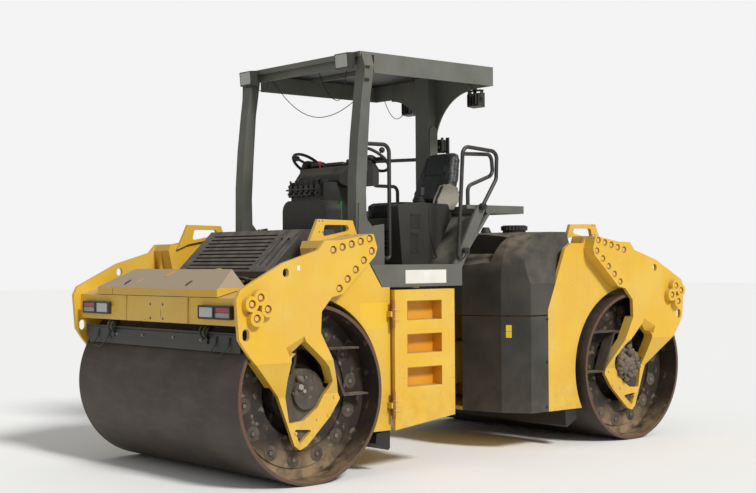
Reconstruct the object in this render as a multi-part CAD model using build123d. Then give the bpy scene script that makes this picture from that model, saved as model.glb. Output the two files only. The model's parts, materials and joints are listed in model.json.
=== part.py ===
from build123d import *
import math
import os

# Tandem road roller, millimetres.  +X is forward, +Y is left, +Z is up.
# The origin is on the ground, under the articulation pin, midway between the axles.
# Each end is modelled as the front one and mirrored for the rear, and each side as the left.
# Outlines called (ahead, up) are measured from a drum's axle, and those called
# (ahead, above) from the platform floor's front edge, so both follow when it moves.

# ---- drums and forks --------------------------------------------------------
DRUM_DIA = 1220.0
DRUM_WIDTH = 2130.0
SHELL_WALL = 25.0
WHEELBASE = 3400.0
WEB_INSET = 175.0             # drum's end to the outside of its web
WEB_WALL = 25.0
CUP_RADIUS = 300.0            # the cup in the web that takes the drive motor
CUP_DEPTH = 190.0
RING_RADIUS = 455.0           # bolt circle of the buffer ring on the web
RING_WIDTH = 110.0
RING_PROUD = 12.0
HUB_RADIUS = 170.0            # drive motor
STUB_RADIUS = 60.0            # stub shaft that carries the drum
STUB_LENGTH = 120.0
BOSS_WALL = 50.0
FORK_GAP = 8.0                # drum's end to the fork
FORK_PLATE = 30.0
FORK_DEPTH = 90.0             # depth of the fork's arms
FOLD_SET = 108.0              # how far the fork folds in to reach its hub
BOSS_RADIUS = 52.0
BOSS_PROUD = 47.0
POCKET_RADIUS = 28.0
POCKET_DEPTH = 22.0

# ---- frames -----------------------------------------------------------------
FRAME_INSET = 65.0            # drum's end to the outside of the side plates
FRAME_PLATE = 30.0
GROUND_CLEAR = 300.0          # underside of the frames
ARCH_GAP = 50.0               # drum to the frame's arch
HORN_WIDTH = 223.0            # fork to the inside of the horn that carries it
LUG_PLATE = 30.0
RUN_GAP = 0.05                # radial clearance of pins and shafts
PIN_RADIUS = 35.0             # articulation pin
TRUNNION_RADIUS = 90.0
TRUNNION_RISE = 50.0          # trunnion's centre above the axles
TRUNNION_LENGTH = 300.0
EAR_PLATE = 40.0
EAR_HALF = 130.0
EAR_SPREAD = 480.0            # underside of the lower ear to top of the upper one
BAY_BACK = 300.0              # back of the engine bay, ahead of the articulation pin
BAY_HALF = 600.0
BAY_WALL = 30.0

# ---- lids and doors ---------------------------------------------------------
LID_GAP = 6.0
LID_PIN = 8.0                 # hinge pin radius of the hood and the lids
HINGE_HALF = 10.0             # half width of a fixed hinge post
HINGE_EAR = 16.0              # width of a lid's hinge ear
COVER_HALF = 800.0
COVER_TOP_HALF = 635.0
COVER_HINGES = (-450.0, 450.0)
HOOD_HALF = 600.0
HOOD_SKIN = 15.0
HOOD_HINGES = (-350.0, 350.0)
LOUVRE_COUNT = 10
LOUVRE_GAP = 15.0
LOUVRE_SPAN = (-500.0, 330.0)
DOOR_PLATE = 30.0
DOOR_GAP = 6.0
DOOR_PROUD = 40.0             # outside of the door beyond the side plates
DOOR_KNUCKLE = 10.0
DOOR_PIN = 5.0
STEP_COUNT = 3
STEP_PITCH = 240.0
STEP_HEIGHT = 140.0
STEP_WIDTH = 340.0
STEP_DEPTH = 110.0
STEP_WALL = 10.0

# ---- platform and roof ------------------------------------------------------
FLOOR_RISE = 870.0            # platform floor above the axles
FLOOR_LENGTH = 830.0
FLOOR_PLATE = 40.0
SKIRT_DEPTH = 160.0
SKIRT_PLATE = 20.0
SHELF_RISE = 450.0            # shelf behind the seat, above the floor
SHELF_PLATE = 60.0
SHELF_LENGTH = 420.0
STRUT_PLATE = 20.0
ROOF_RISE = 1566.0            # roof's top above the floor
ROOF_DEPTH = 150.0
ROOF_HALF = 715.0
ROOF_LENGTH = 1383.0
ROOF_SKIN = 20.0
FASCIA_PLATE = 15.0
POST_WIDTH = 97.0
POST_SET = 50.0               # outside of the front posts beyond the roof's side
REAR_POST_HALF = 80.0
REAR_POST_DEPTH = 102.0
WING_PLATE = 15.0             # gusset between the rear post and the roof
TUBE_RADIUS = 15.0            # handrails
TUBE_BEND = 60.0

# ---- operator's place -------------------------------------------------------
SEAT_Y = 300.0
SEAT_HALF = 245.0
SEAT_RISE = 360.0             # underside of the cushion above the floor
CUSHION = 120.0
SEAT_GAP = 0.3
POD_WIDTH = 130.0
WHEEL_Y = 400.0
WHEEL_RADIUS = 140.0
WHEEL_RIM = 12.0
COLUMN_RADIUS = 25.0
DASH_HALF = 460.0

# ---- water tank -------------------------------------------------------------
TANK_FRONT = 300.0            # front of the tank, behind the articulation pin
TANK_BACK = 590.0             # back of the tank, ahead of the rear axle
TANK_LOW = 460.0              # seam over the side panels, above the axle
TANK_HIGH = 1125.0            # top of the tank, above the axle
TANK_ROUND = 420.0            # radius of the shoulder from front to top
PANEL_PLATE = 15.0
CAP_RADIUS = 110.0
CAP_RIBS = 24

# ---- derived places ---------------------------------------------------------
DRUM_R = DRUM_DIA / 2
AXLE_X = WHEELBASE / 2
AXLE_Z = DRUM_R
DRUM_HALF = DRUM_WIDTH / 2
SHELL_IN = DRUM_R - SHELL_WALL
WEB_OUT = DRUM_HALF - WEB_INSET
CUP_FLOOR = WEB_OUT - CUP_DEPTH
FORK_IN = DRUM_HALF + FORK_GAP
FORK_OUT = FORK_IN + FORK_PLATE
BOSS_OUT = FORK_OUT + BOSS_PROUD
LOW_OUT = FORK_OUT - FOLD_SET
LOW_IN = LOW_OUT - FORK_PLATE
FRAME_HALF = DRUM_HALF - FRAME_INSET
ARCH_R = DRUM_R + ARCH_GAP
HORN_IN = FORK_IN - HORN_WIDTH
LUG_IN = HORN_IN - LUG_PLATE
TRUNNION_Z = AXLE_Z + TRUNNION_RISE
BULKHEAD = AXLE_X - 770
DECK_LOW = AXLE_Z + 750
FLOOR_TOP = AXLE_Z + FLOOR_RISE
FLOOR_FRONT = AXLE_X - 640
FLOOR_BACK = FLOOR_FRONT - FLOOR_LENGTH
SKIRT_LOW = FLOOR_TOP - SKIRT_DEPTH
STRUT_IN = FRAME_HALF - 50
STRUT_OUT = STRUT_IN + STRUT_PLATE
SHELF_TOP = FLOOR_TOP + SHELF_RISE
SHELF_FRONT = FLOOR_FRONT - 1140
ROOF_TOP = FLOOR_TOP + ROOF_RISE
ROOF_FRONT = FLOOR_FRONT - 85
ROOF_BACK = ROOF_FRONT - ROOF_LENGTH
ROOF_UNDER = ROOF_TOP - ROOF_SKIN
POST_OUT = ROOF_HALF + POST_SET
REAR_POST_X = ROOF_BACK + 16
BOX_FRONT = AXLE_X - 750
BOX_BACK = BAY_BACK + 50
BOX_TOP = SKIRT_LOW - 20
DOOR_OUT = FRAME_HALF + DOOR_PROUD
DOOR_IN = DOOR_OUT - DOOR_PLATE
RAIL_Y = STRUT_OUT + TUBE_RADIUS + 2
TANK_TOP = AXLE_Z + TANK_HIGH
SIDES = {"left": 1, "right": -1}
ENDS = {"front": 1, "rear": -1}
ALONG = {"x": (1, 0, 0), "y": (0, 1, 0), "z": (0, 0, 1)}


# ---- small helpers ----------------------------------------------------------
def block(x, y, z):
    """A box from three (low, high) pairs."""
    size = Box(x[1] - x[0], y[1] - y[0], z[1] - z[0])
    return Pos((x[0] + x[1]) / 2, (y[0] + y[1]) / 2, (z[0] + z[1]) / 2) * size


def place(pair, axis, station):
    """The point of an outline's pair, on the plane across an axis at a station."""
    a, b = pair
    return {"x": (station, a, b), "y": (a, station, b), "z": (a, b, station)}[axis]


def slab(outline, axis, low, high, bend=0.0):
    """Extrude a closed outline along an axis between two stations, with its corners rounded.
    The outline's pairs are (y, z) for axis x, (x, z) for axis y and (x, y) for axis z."""
    points = [place(pair, axis, low) for pair in outline]
    if bend:
        wire = FilletPolyline(*points, radius=bend, close=True)
    else:
        wire = Polyline(*points, close=True)
    return extrude(make_face(wire), amount=high - low, dir=ALONG[axis])


def from_axle(outline):
    """(ahead, up) pairs of the front axle as (x, z)."""
    return [(AXLE_X + ahead, AXLE_Z + up) for ahead, up in outline]


def from_floor(outline):
    """(ahead, above) pairs of the floor's front edge as (x, z)."""
    return [(FLOOR_FRONT + ahead, FLOOR_TOP + above) for ahead, above in outline]


def bar(start, end, radius):
    """A round bar between two points."""
    run = Vector(*end) - Vector(*start)
    return extrude(Plane(origin=start, z_dir=run) * Circle(radius), amount=run.length)


def pipe(points, bend, radius):
    """A bent tube: straight runs joined by arcs."""
    path = FilletPolyline(*points, radius=bend)
    return sweep(Plane(origin=path @ 0, z_dir=path % 0) * Circle(radius), path=path)


def disc(x, z, radius, y0, y1):
    """A cylinder along Y."""
    return Pos(x, (y0 + y1) / 2, z) * Rot(90, 0, 0) * Cylinder(radius, y1 - y0)


def upright(x, y, radius, z0, z1):
    """A cylinder along Z."""
    return Pos(x, y, (z0 + z1) / 2) * Cylinder(radius, z1 - z0)


def axle_disc(radius, y0, y1):
    return disc(AXLE_X, AXLE_Z, radius, y0, y1)


def turned(shape, end):
    """The front end's shape, or its mirror image for the rear end."""
    return shape if end == "front" else mirror(shape, about=Plane.YZ)


def sided(shape, side):
    """The left side's shape, or its mirror image for the right side."""
    return shape if side == "left" else mirror(shape, about=Plane.XZ)


def joined_sides(shape):
    """One solid of a left shape that reaches the middle, and its mirror image."""
    return shape + mirror(shape, about=Plane.XZ)


def both_sides(shape):
    """A left shape and its mirror image, as solids that don't touch."""
    return Compound(children=[*shape.solids(), *mirror(shape, about=Plane.XZ).solids()])


# ---- drums ------------------------------------------------------------------
def drum(end):
    """Rolled shell with a web near each end; each web has a cup for the drive and a bored boss."""
    bore = STUB_RADIUS + RUN_GAP
    boss = bore + BOSS_WALL
    ring_in = RING_RADIUS - RING_WIDTH / 2
    ring_out = RING_RADIUS + RING_WIDTH / 2
    web_in = WEB_OUT - WEB_WALL
    boss_in = CUP_FLOOR - STUB_LENGTH
    section = [               # (distance from the middle, radius)
        (0, DRUM_R), (DRUM_HALF, DRUM_R), (DRUM_HALF, SHELL_IN), (WEB_OUT, SHELL_IN),
        (WEB_OUT, ring_out), (WEB_OUT + RING_PROUD, ring_out), (WEB_OUT + RING_PROUD, ring_in),
        (WEB_OUT, ring_in), (WEB_OUT, CUP_RADIUS), (CUP_FLOOR, CUP_RADIUS), (CUP_FLOOR, bore),
        (boss_in, bore), (boss_in, boss), (CUP_FLOOR - WEB_WALL, boss),
        (CUP_FLOOR - WEB_WALL, CUP_RADIUS + WEB_WALL), (web_in, CUP_RADIUS + WEB_WALL),
        (web_in, SHELL_IN), (0, SHELL_IN)]
    face = make_face(Polyline(*[(AXLE_X, y, AXLE_Z + r) for y, r in section], close=True))
    half = revolve(face, axis=Axis((AXLE_X, 0, AXLE_Z), (0, 1, 0)))
    return turned(joined_sides(half), end)


# ---- forks ------------------------------------------------------------------
FORK_OUTLINE = [              # (ahead, up)
    (615, 718), (647, 655), (626, 398), (583, 334), (513, 247), (380, 125), (240, -6),
    (106, -342), (60, -377), (0, -352), (-200, -170), (-290, -50), (-227, 86), (-160, 207),
    (-42, 417), (-50, 560), (-140, 655), (-236, 675), (-528, 934), (-548, 990),
    (-514, 1089), (-223, 1043), (-80, 1040), (-23, 975), (270, 890),
]
FORK_OPENING = [
    (85, 365), (208, 258), (200, 100), (150, -190), (30, -180), (-90, -100), (-180, 30),
    (-195, 80), (-130, 180),
]
TIP_HOLE = [(106, -233), (-48, -247), (63, -333)]
FOLD_TOP = 230.0              # the plate leaves its outer plane here, above the axle
FOLD_LOW = -10.0              # and is upright again from here down
ARM_RADIUS = 560.0            # the arms are deep inside this radius
ARM_BAND = (60.0, 420.0)
LIP_START = (100.0, 400.0)    # crease of the lip that leans into the opening
LIP_END = (250.0, 330.0)
LIP_WIDTH = 70.0
LIP_DEPTH = 50.0
CORNER = 18.0
# Bolt pockets: (ahead, up)
TOP_ROW = [(-155 - 81 * i, 976 + 19.5 * i) for i in range(5)]
DIAGONAL_ROW = [(-206 - 73 * i, 712 + 64 * i) for i in range(5)]
FRONT_GROUP = [(484, 667), (553, 626), (428, 590), (515, 532)]
# Oval holes: (ahead, up, half width, length)
OVAL_HOLES = [(573, 425, 28, 80), (250, 825, 25, 60)]


def fold_profile(depth):
    """The folded plate's section across the machine, to a given depth from its outside."""
    high, top, low, foot = AXLE_Z + 1200, AXLE_Z + FOLD_TOP, AXLE_Z + FOLD_LOW, AXLE_Z - 500
    return slab([
        (FORK_OUT, high), (FORK_OUT, top), (LOW_OUT, low), (LOW_OUT, foot),
        (LOW_OUT - depth, foot), (LOW_OUT - depth, low), (FORK_OUT - depth, top),
        (FORK_OUT - depth, high)], "x", AXLE_X - 700, AXLE_X + 800)


def oval(x, z, half, length, y0, y1):
    run = length / 2 - half
    return (disc(x, z - run, half, y0, y1) + disc(x, z + run, half, y0, y1)
            + block((x - half, x + half), (y0, y1), (z - run, z + run)))


def lip_cut():
    """Wedge that leans the plate into the opening along its upper front edge."""
    start = Vector(AXLE_X + LIP_START[0], FORK_OUT, AXLE_Z + LIP_START[1])
    end = Vector(AXLE_X + LIP_END[0], FORK_OUT, AXLE_Z + LIP_END[1])
    run = end - start
    inward = Vector(run.Z, 0, -run.X).normalized() * LIP_WIDTH
    wedge = Polyline(start, start + inward, start + inward - Vector(0, LIP_DEPTH, 0), close=True)
    return extrude(make_face(wedge), amount=run.length, dir=run.normalized())


def fork(end, side):
    """Folded side plate with deep arms and a rimmed opening, which carries one end of a drum."""
    y0, y1 = LOW_OUT - 2 * FORK_DEPTH, BOSS_OUT + 50
    outline = slab(from_axle(FORK_OUTLINE), "y", y0, y1, CORNER)
    arms = outline & fold_profile(FORK_DEPTH) & axle_disc(ARM_RADIUS, y0, y1)
    arms &= block((AXLE_X - 700, AXLE_X + 700), (y0, y1), (AXLE_Z + ARM_BAND[0], AXLE_Z + ARM_BAND[1]))
    body = (outline & fold_profile(FORK_PLATE)) + arms
    body -= slab(from_axle(FORK_OPENING), "y", y0, y1, CORNER)
    body -= slab(from_axle(TIP_HOLE), "y", y0, y1, CORNER / 2)
    body -= lip_cut()
    for ahead, up in FRONT_GROUP:
        body += disc(AXLE_X + ahead, AXLE_Z + up, BOSS_RADIUS, FORK_IN, BOSS_OUT)
    for ahead, up in FRONT_GROUP:
        body -= disc(AXLE_X + ahead, AXLE_Z + up, POCKET_RADIUS, BOSS_OUT - POCKET_DEPTH, BOSS_OUT)
    for ahead, up in TOP_ROW + DIAGONAL_ROW:
        body -= disc(AXLE_X + ahead, AXLE_Z + up, POCKET_RADIUS, FORK_OUT - POCKET_DEPTH, FORK_OUT)
    for ahead, up, half, length in OVAL_HOLES:
        body -= oval(AXLE_X + ahead, AXLE_Z + up, half, length, y0, y1)
    return sided(turned(body, end), side)


CARRIER = [(-265, -35), (-215, 30), (215, 30), (225, -10), (110, -280), (30, -310), (-150, -170)]
CHANNEL = [                   # bracket behind the fork's arm, open towards the drum's rim
    (-60, 301), (-450, 301), (-450, 289), (-186, 289), (-325, -23), (-530, -23), (-530, -35),
    (-311, -35), (-172, 280), (-60, 280),
]
CHANNEL_DEPTH = 100.0


def hub(end, side):
    """Drive motor and stub shaft on the carrier plate inside the fork, and the channel bracket."""
    body = axle_disc(HUB_RADIUS, CUP_FLOOR + 15, LOW_IN)
    body += axle_disc(HUB_RADIUS + 30, WEB_OUT - 40, WEB_OUT - 15)
    body += axle_disc(STUB_RADIUS, CUP_FLOOR - STUB_LENGTH + 20, CUP_FLOOR + 15)
    body += slab(from_axle(CARRIER), "y", LOW_IN - FORK_PLATE, LOW_IN, CORNER)
    body += axle_disc(105, LOW_IN, LOW_OUT)
    out = FORK_OUT - FORK_DEPTH
    body += slab(from_axle(CHANNEL), "y", out - CHANNEL_DEPTH, out)
    return sided(turned(body, end), side)


# ---- frames -----------------------------------------------------------------
HORN = [                      # (ahead, up)
    (-548, 990), (-514, 1089), (-223, 1043), (-80, 1040), (-60, 990), (-140, 655),
    (-236, 675), (-528, 934),
]
SIDE_TOP = [(-514, 1089), (-223, 1043), (-80, 1040), (-60, 990)]
FRONT_EDGE = [(-750, 710), (-674, 710), (-545, 900), (-530, 1000)]
REAR_EDGE = [(-980, 500), (-770, 990), (-700, 1030), (-548, 1030)]
WEDGE = 5.0                   # how far one plate of a frame reaches into the next


def arch():
    return axle_disc(ARCH_R, -FORK_OUT, FORK_OUT)


def side_outline(edge):
    """Side plate from its free edge to above the drum, as (x, z)."""
    low = GROUND_CLEAR - AXLE_Z
    return from_axle([(edge[0][0], low), *edge, *SIDE_TOP, (SIDE_TOP[-1][0], low)])


def frame_half(edge):
    """Side plates with the drum's arch, horns beside the drum, bulkhead and deck."""
    inside = FRAME_HALF - FRAME_PLATE
    side = slab(side_outline(edge), "y", inside, FRAME_HALF)
    side += slab(from_axle(HORN), "y", HORN_IN, FORK_IN)
    body = joined_sides(side)
    wide = inside + WEDGE
    body += block((BULKHEAD, BULKHEAD + 30), (-wide, wide), (GROUND_CLEAR, DECK_LOW + 30))
    body += block((BULKHEAD, AXLE_X + 50), (-inside, inside), (DECK_LOW, DECK_LOW + 30))
    return body - arch()


HOOD_PIN = (-596.0, 1142.0)   # (ahead, up)
DOOR_HINGES = (-130.0, 520.0)  # above the axle
EAR_LOW = TRUNNION_Z - EAR_SPREAD / 2


def hinge_posts(pin, places, foot):
    """Bored posts for a lid's pins: pin is (x, z), and foot is the height they stand on."""
    x, z = pin
    shape = None
    for y in places:
        outline = [(x - 24, foot), (x + 18, foot), (x + 12, z), (x, z + 12), (x - 12, z)]
        post = slab(outline, "y", y - HINGE_HALF, y + HINGE_HALF)
        post -= disc(x, z, LID_PIN + RUN_GAP, y - HINGE_HALF, y + HINGE_HALF)
        shape = post if shape is None else shape + post
    return shape


def lid_ears(outline, pin, places):
    """A lid's ears on both sides of each post, and the pin through them."""
    x, z = pin
    shape = None
    for y in places:
        for way in (-1, 1):
            middle = y + way * (HINGE_HALF + 4 + HINGE_EAR / 2)
            ear = slab(outline, "y", middle - HINGE_EAR / 2, middle + HINGE_EAR / 2)
            shape = ear if shape is None else shape + ear
        reach = HINGE_HALF + 4 + HINGE_EAR
        shape += disc(x, z, LID_PIN, y - reach, y + reach)
    return shape


def door_pin():
    return BOX_FRONT + 8, DOOR_OUT + 6


def front_frame():
    """Front half frame with the engine bay, the hinges and the two ears of the articulation."""
    body = frame_half(FRONT_EDGE)
    bay_x = (BAY_BACK, BULKHEAD)
    body += block(bay_x, (-BAY_HALF, BAY_HALF), (GROUND_CLEAR, GROUND_CLEAR + BAY_WALL))
    body += block((BAY_BACK, BAY_BACK + BAY_WALL), (-BAY_HALF, BAY_HALF), (GROUND_CLEAR, SKIRT_LOW))
    body += joined_sides(block(bay_x, (BAY_HALF - 20, BAY_HALF), (GROUND_CLEAR, SKIRT_LOW)))
    body += hinge_posts(from_axle([HOOD_PIN])[0], HOOD_HINGES, DECK_LOW + 30)
    x, y = door_pin()
    for up in DOOR_HINGES:
        z = AXLE_Z + up
        knuckle = upright(x, y, DOOR_KNUCKLE, z - 20, z + 20)
        knuckle += block((x, x + 26), (FRAME_HALF - WEDGE, y + 4), (z - 20, z + 20))
        knuckle -= upright(x, y, DOOR_PIN + RUN_GAP, z - 20, z + 20)
        body += joined_sides(knuckle)
    for z in (EAR_LOW, EAR_LOW + EAR_SPREAD - EAR_PLATE):
        ear = block((0, BAY_BACK), (-EAR_HALF, EAR_HALF), (z, z + EAR_PLATE))
        ear += upright(0, 0, EAR_HALF, z, z + EAR_PLATE)
        body += ear - upright(0, 0, PIN_RADIUS + RUN_GAP, z, z + EAR_PLATE)
    return body


def trunnion(start, length, radius):
    """A round bar that runs back from a station on the trunnion's centre line."""
    run = (Align.CENTER, Align.CENTER, Align.MIN)
    return Pos(start, 0, TRUNNION_Z) * Rot(0, -90, 0) * Cylinder(radius, length, align=run)


def articulation_link():
    """Knuckle between the halves: upright pin, block, and the trunnion that lets the rear tilt."""
    low = EAR_LOW + EAR_PLATE + 5
    high = EAR_LOW + EAR_SPREAD - EAR_PLATE - 5
    body = upright(0, 0, PIN_RADIUS, EAR_LOW - 20, EAR_LOW + EAR_SPREAD + 20)
    body += block((-90, 90), (-110, 110), (low, high))
    return body + trunnion(-90, TRUNNION_LENGTH, TRUNNION_RADIUS)


TANK_PLAN = [(0.0, 450.0), (90.0, 800.0), (220.0, 1000.0)]   # (behind the tank's front, half width)


def tank_plan(inset=0.0):
    """Left half of the tank's outline from above, from its front to its back, as (x, y)."""
    scale = (FRAME_HALF - inset) / TANK_PLAN[-1][1]
    corner = [(-TANK_FRONT - behind - inset, half * scale) for behind, half in TANK_PLAN]
    return corner + [(-AXLE_X + TANK_BACK, FRAME_HALF - inset)]


def rear_frame():
    """Rear half frame with the nose that holds the trunnion and the floor under the tank."""
    body = mirror(frame_half(REAR_EDGE), about=Plane.YZ)
    half = TRUNNION_RADIUS + 80
    nose = block((-BULKHEAD, -200), (-half, half), (TRUNNION_Z - half, TRUNNION_Z + half))
    nose -= trunnion(-190, TRUNNION_LENGTH - 90, TRUNNION_RADIUS + RUN_GAP)
    left = [(-BULKHEAD if x < -BULKHEAD else x, y) for x, y in tank_plan(PANEL_PLATE)]
    right = [(x, -y) for x, y in reversed(left)]
    return body + nose + slab(left + right, "z", GROUND_CLEAR, GROUND_CLEAR + 30)


# ---- crossbeam, lid and scraper at each end ---------------------------------
BEAM_FACE = 586.0             # ahead of the axle
BEAM_REAR = 380.0
BEAM_LOW = 480.0              # above the axle
COVER_REAR = 360.0
COVER_FACE = 592.0
COVER_PIN = (340.0, 842.0)    # (ahead, up)
COVER_TOP = 850.0
COVER_LIP = 716.0
SLOT_Y = (-330.0, 330.0)      # latch slots in the lid


def cover_floor(ahead):
    """Height of the lid's underside above the axle, which slopes down to the front."""
    return 725 - (ahead - COVER_REAR) * 60 / 232


def crossbeam(end):
    """Beam between the fork tips, over the drum, with the lid's hinge posts."""
    ledge = cover_floor(BEAM_REAR) - LID_GAP
    outline = [(BEAM_FACE, BEAM_LOW), (BEAM_FACE, cover_floor(BEAM_FACE) - LID_GAP),
               (BEAM_REAR, ledge), (BEAM_REAR, ledge - 30), (470, 640), (500, BEAM_LOW)]
    body = slab(from_axle(outline), "y", -FORK_IN, FORK_IN)
    x, z = COVER_PIN
    arm = [(BEAM_REAR, ledge - 30), (BEAM_REAR, ledge), (x + 13, ledge), (x + 13, z), (x + 8, z + 13),
           (x - 8, z + 13), (x - 13, z), (x - 20, ledge - 30)]
    pin_x, pin_z = from_axle([COVER_PIN])[0]
    for y in COVER_HINGES:
        body += slab(from_axle(arm), "y", y - HINGE_HALF, y + HINGE_HALF)
        body -= disc(pin_x, pin_z, LID_PIN + RUN_GAP, y - HINGE_HALF, y + HINGE_HALF)
    return turned(body, end)


def cover(end):
    """Folded lid over the beam, with bevelled ends, latch slots and hinge ears at its back."""
    outline = [(COVER_REAR, cover_floor(COVER_REAR)), (COVER_REAR, COVER_TOP), (584, 722),
               (COVER_FACE, COVER_LIP), (COVER_FACE, cover_floor(COVER_FACE))]
    section = slab(from_axle(outline), "y", -COVER_HALF, COVER_HALF)
    foot, knee, top = AXLE_Z + 660, AXLE_Z + 725, AXLE_Z + COVER_TOP + 1
    bevel = [(-COVER_HALF, foot), (-COVER_HALF, knee), (-COVER_TOP_HALF, top), (COVER_TOP_HALF, top),
             (COVER_HALF, knee), (COVER_HALF, foot)]
    body = section & slab(bevel, "x", AXLE_X + COVER_REAR, AXLE_X + COVER_FACE)
    lean = math.degrees(math.atan2(COVER_TOP - 722, 584 - COVER_REAR))
    for y in SLOT_Y:
        middle = Pos(AXLE_X + 500, y, AXLE_Z + 770) * Rot(0, lean, 0)
        body -= middle * Box(70, 14, 20)
    x, z = COVER_PIN
    ear = [(COVER_REAR, z - 30), (x, z - 14), (x - 12, z), (x, z + 12), (COVER_REAR, z + 6)]
    return turned(body + lid_ears(from_axle(ear), from_axle([COVER_PIN])[0], COVER_HINGES), end)


LUG_OUTER = [(-127, 1000), (-221, 1194), (-534, 1188), (-580, 1070), (-500, 1090), (-223, 1040)]
LUG_INNER = [(-260, 1070), (-280, 1155), (-485, 1155), (-510, 1115)]


def lifting_lugs(end):
    """A raised ring of plate on each horn, for the lifting slings."""
    ring = slab(from_axle(LUG_OUTER), "y", LUG_IN, HORN_IN)
    ring -= slab(from_axle(LUG_INNER), "y", LUG_IN, HORN_IN, CORNER)
    return both_sides(turned(ring, end))


SCRAPER_BAR = (355.0, 430.0)  # above the axle


def scraper(end):
    """Scraper bar with its blade in front of the drum, hung from the beam on two arms."""
    half = DRUM_HALF - 30
    low, high = AXLE_Z + SCRAPER_BAR[0], AXLE_Z + SCRAPER_BAR[1]
    body = block((AXLE_X + 545, AXLE_X + 555), (-half, half), (low, high))
    blade = [(545, 400), (555, 400), (549, 300), (541, 300)]
    body += slab(from_axle(blade), "y", 30 - half, half - 30)
    arm = [(500, 480), (545, 480), (568, 410), (568, 350), (550, 350), (550, 400), (525, 445)]
    for y in (-620, 620):
        body += slab(from_axle(arm), "y", y - 20, y + 20)
    return turned(body, end)


LAMP_LOW, LAMP_HIGH = 520.0, 612.0          # above the axle
LAMP_BAYS = [(605.0, 790.0), (800.0, 988.0)]  # headlamp, and tail and turn lamp: (in, out)


def lamps(end):
    """Two lamp clusters on the beam's face; each has two rounded housings on one plate."""
    face = AXLE_X + BEAM_FACE
    low, high = AXLE_Z + LAMP_LOW, AXLE_Z + LAMP_HIGH
    cluster = block((face, face + 12), (LAMP_BAYS[0][0], LAMP_BAYS[1][1]), (low + 6, high - 6))
    for inner, outer in LAMP_BAYS:
        rim = [(inner, low), (outer, low), (outer, high), (inner, high)]
        glass = [(inner + 12, low + 12), (outer - 12, low + 12), (outer - 12, high - 12),
                 (inner + 12, high - 12)]
        cluster += slab(rim, "x", face, face + 32, CORNER / 2)
        cluster -= slab(glass, "x", face + 24, face + 32)
    return both_sides(turned(cluster, end))


# ---- water tank and side panels ---------------------------------------------
TANK_LEAN = [(0.0, 460.0), (0.0, 710.0), (150.0, 1125.0)]    # side: (inset, above the axle)
STEP_HALF = 680.0             # the recess in the tank's front, under its top


def shoulder(start, end):
    """Everything behind one facet of the tank's front, which curves over into its top.
    The facet stands on the line between two points, given as (x, y)."""
    run = Vector(end[0] - start[0], end[1] - start[1], 0).normalized()
    back = Vector(-run.Y, run.X, 0)
    foot = Vector(start[0], start[1], AXLE_Z + TANK_LOW) - run * 1500
    knee = foot + Vector(0, 0, TANK_HIGH - TANK_LOW - TANK_ROUND)
    crown = knee + back * TANK_ROUND + Vector(0, 0, TANK_ROUND)
    middle = knee + back * TANK_ROUND * (1 - math.sqrt(0.5)) + Vector(0, 0, TANK_ROUND * math.sqrt(0.5))
    far = crown + back * 3000
    low = far - Vector(0, 0, TANK_HIGH - TANK_LOW)
    edges = [Line(foot, knee), ThreePointArc(knee, middle, crown), Line(crown, far), Line(far, low),
             Line(low, foot)]
    return extrude(make_face(edges), amount=3000, dir=run)


def water_tank():
    """Moulded tank: a flat front, two facets to each side that all curve over, leaning sides."""
    left = tank_plan()
    back, half = left[-1]
    front = left[0]
    body = block((back, front[0]), (-half, half), (AXLE_Z + TANK_LOW, TANK_TOP))
    body &= shoulder((front[0], -front[1]), front)
    for start, end in zip(left[:2], left[1:3]):
        facet = shoulder(start, end)
        body = body & facet & mirror(facet, about=Plane.XZ)
    lean = [(FRAME_HALF - inset, AXLE_Z + up) for inset, up in TANK_LEAN]
    body &= slab(lean + [(-y, z) for y, z in reversed(lean)], "x", back - 10, front[0] + 10)
    bay = block((back - 10, 2 - BULKHEAD), (-FORK_OUT, FORK_OUT), (AXLE_Z, DECK_LOW + 32))
    plate = slab(side_outline(REAR_EDGE), "y", FRAME_HALF - FRAME_PLATE - 2, FRAME_HALF + 2)
    horn = slab(from_axle(HORN), "y", LUG_IN - 2, FORK_IN)
    step = [(-600, TANK_TOP + 20), (-600, TANK_TOP - 175), (-250, TANK_TOP - 295), (-250, TANK_TOP + 20)]
    body = body - bay - joined_sides(turned(plate, "rear")) - joined_sides(turned(horn, "rear"))
    return body - slab(step, "y", -STEP_HALF, STEP_HALF)


def side_panels():
    """Folded panel under the tank on each side, closing the rear frame."""
    outer = tank_plan()[:3]
    inner = tank_plan(PANEL_PLATE)[:3]
    side_edge = side_outline(REAR_EDGE)[0][0]
    outline = outer + [(-side_edge, outer[-1][1]), (-side_edge, inner[-1][1])] + inner[::-1]
    return both_sides(slab(outline, "z", GROUND_CLEAR, AXLE_Z + TANK_LOW - 10))


def ribbed(radius, depth, count):
    """Round outline with a row of flat ribs, as (x, y)."""
    points = []
    for index in range(2 * count):
        angle = math.pi * index / count
        reach = radius if index % 2 else radius - depth
        points.append((reach * math.cos(angle), reach * math.sin(angle)))
    return points


def breather_dome():
    """Low tapered cap on the tank's top."""
    base = Plane((-700, 330, TANK_TOP)) * RegularPolygon(48, 16)
    return extrude(base, amount=45, taper=25)


def tank_cap():
    """Ribbed screw lid of the water tank on its neck."""
    x, y = -800, 560
    neck = upright(x, y, CAP_RADIUS - 15, TANK_TOP, TANK_TOP + 15)
    lid = slab(ribbed(CAP_RADIUS, 8, CAP_RIBS), "z", TANK_TOP + 15, TANK_TOP + 50)
    crown = upright(x, y, CAP_RADIUS - 14, TANK_TOP + 50, TANK_TOP + 56)
    return neck + Pos(x, y, 0) * lid + crown


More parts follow.
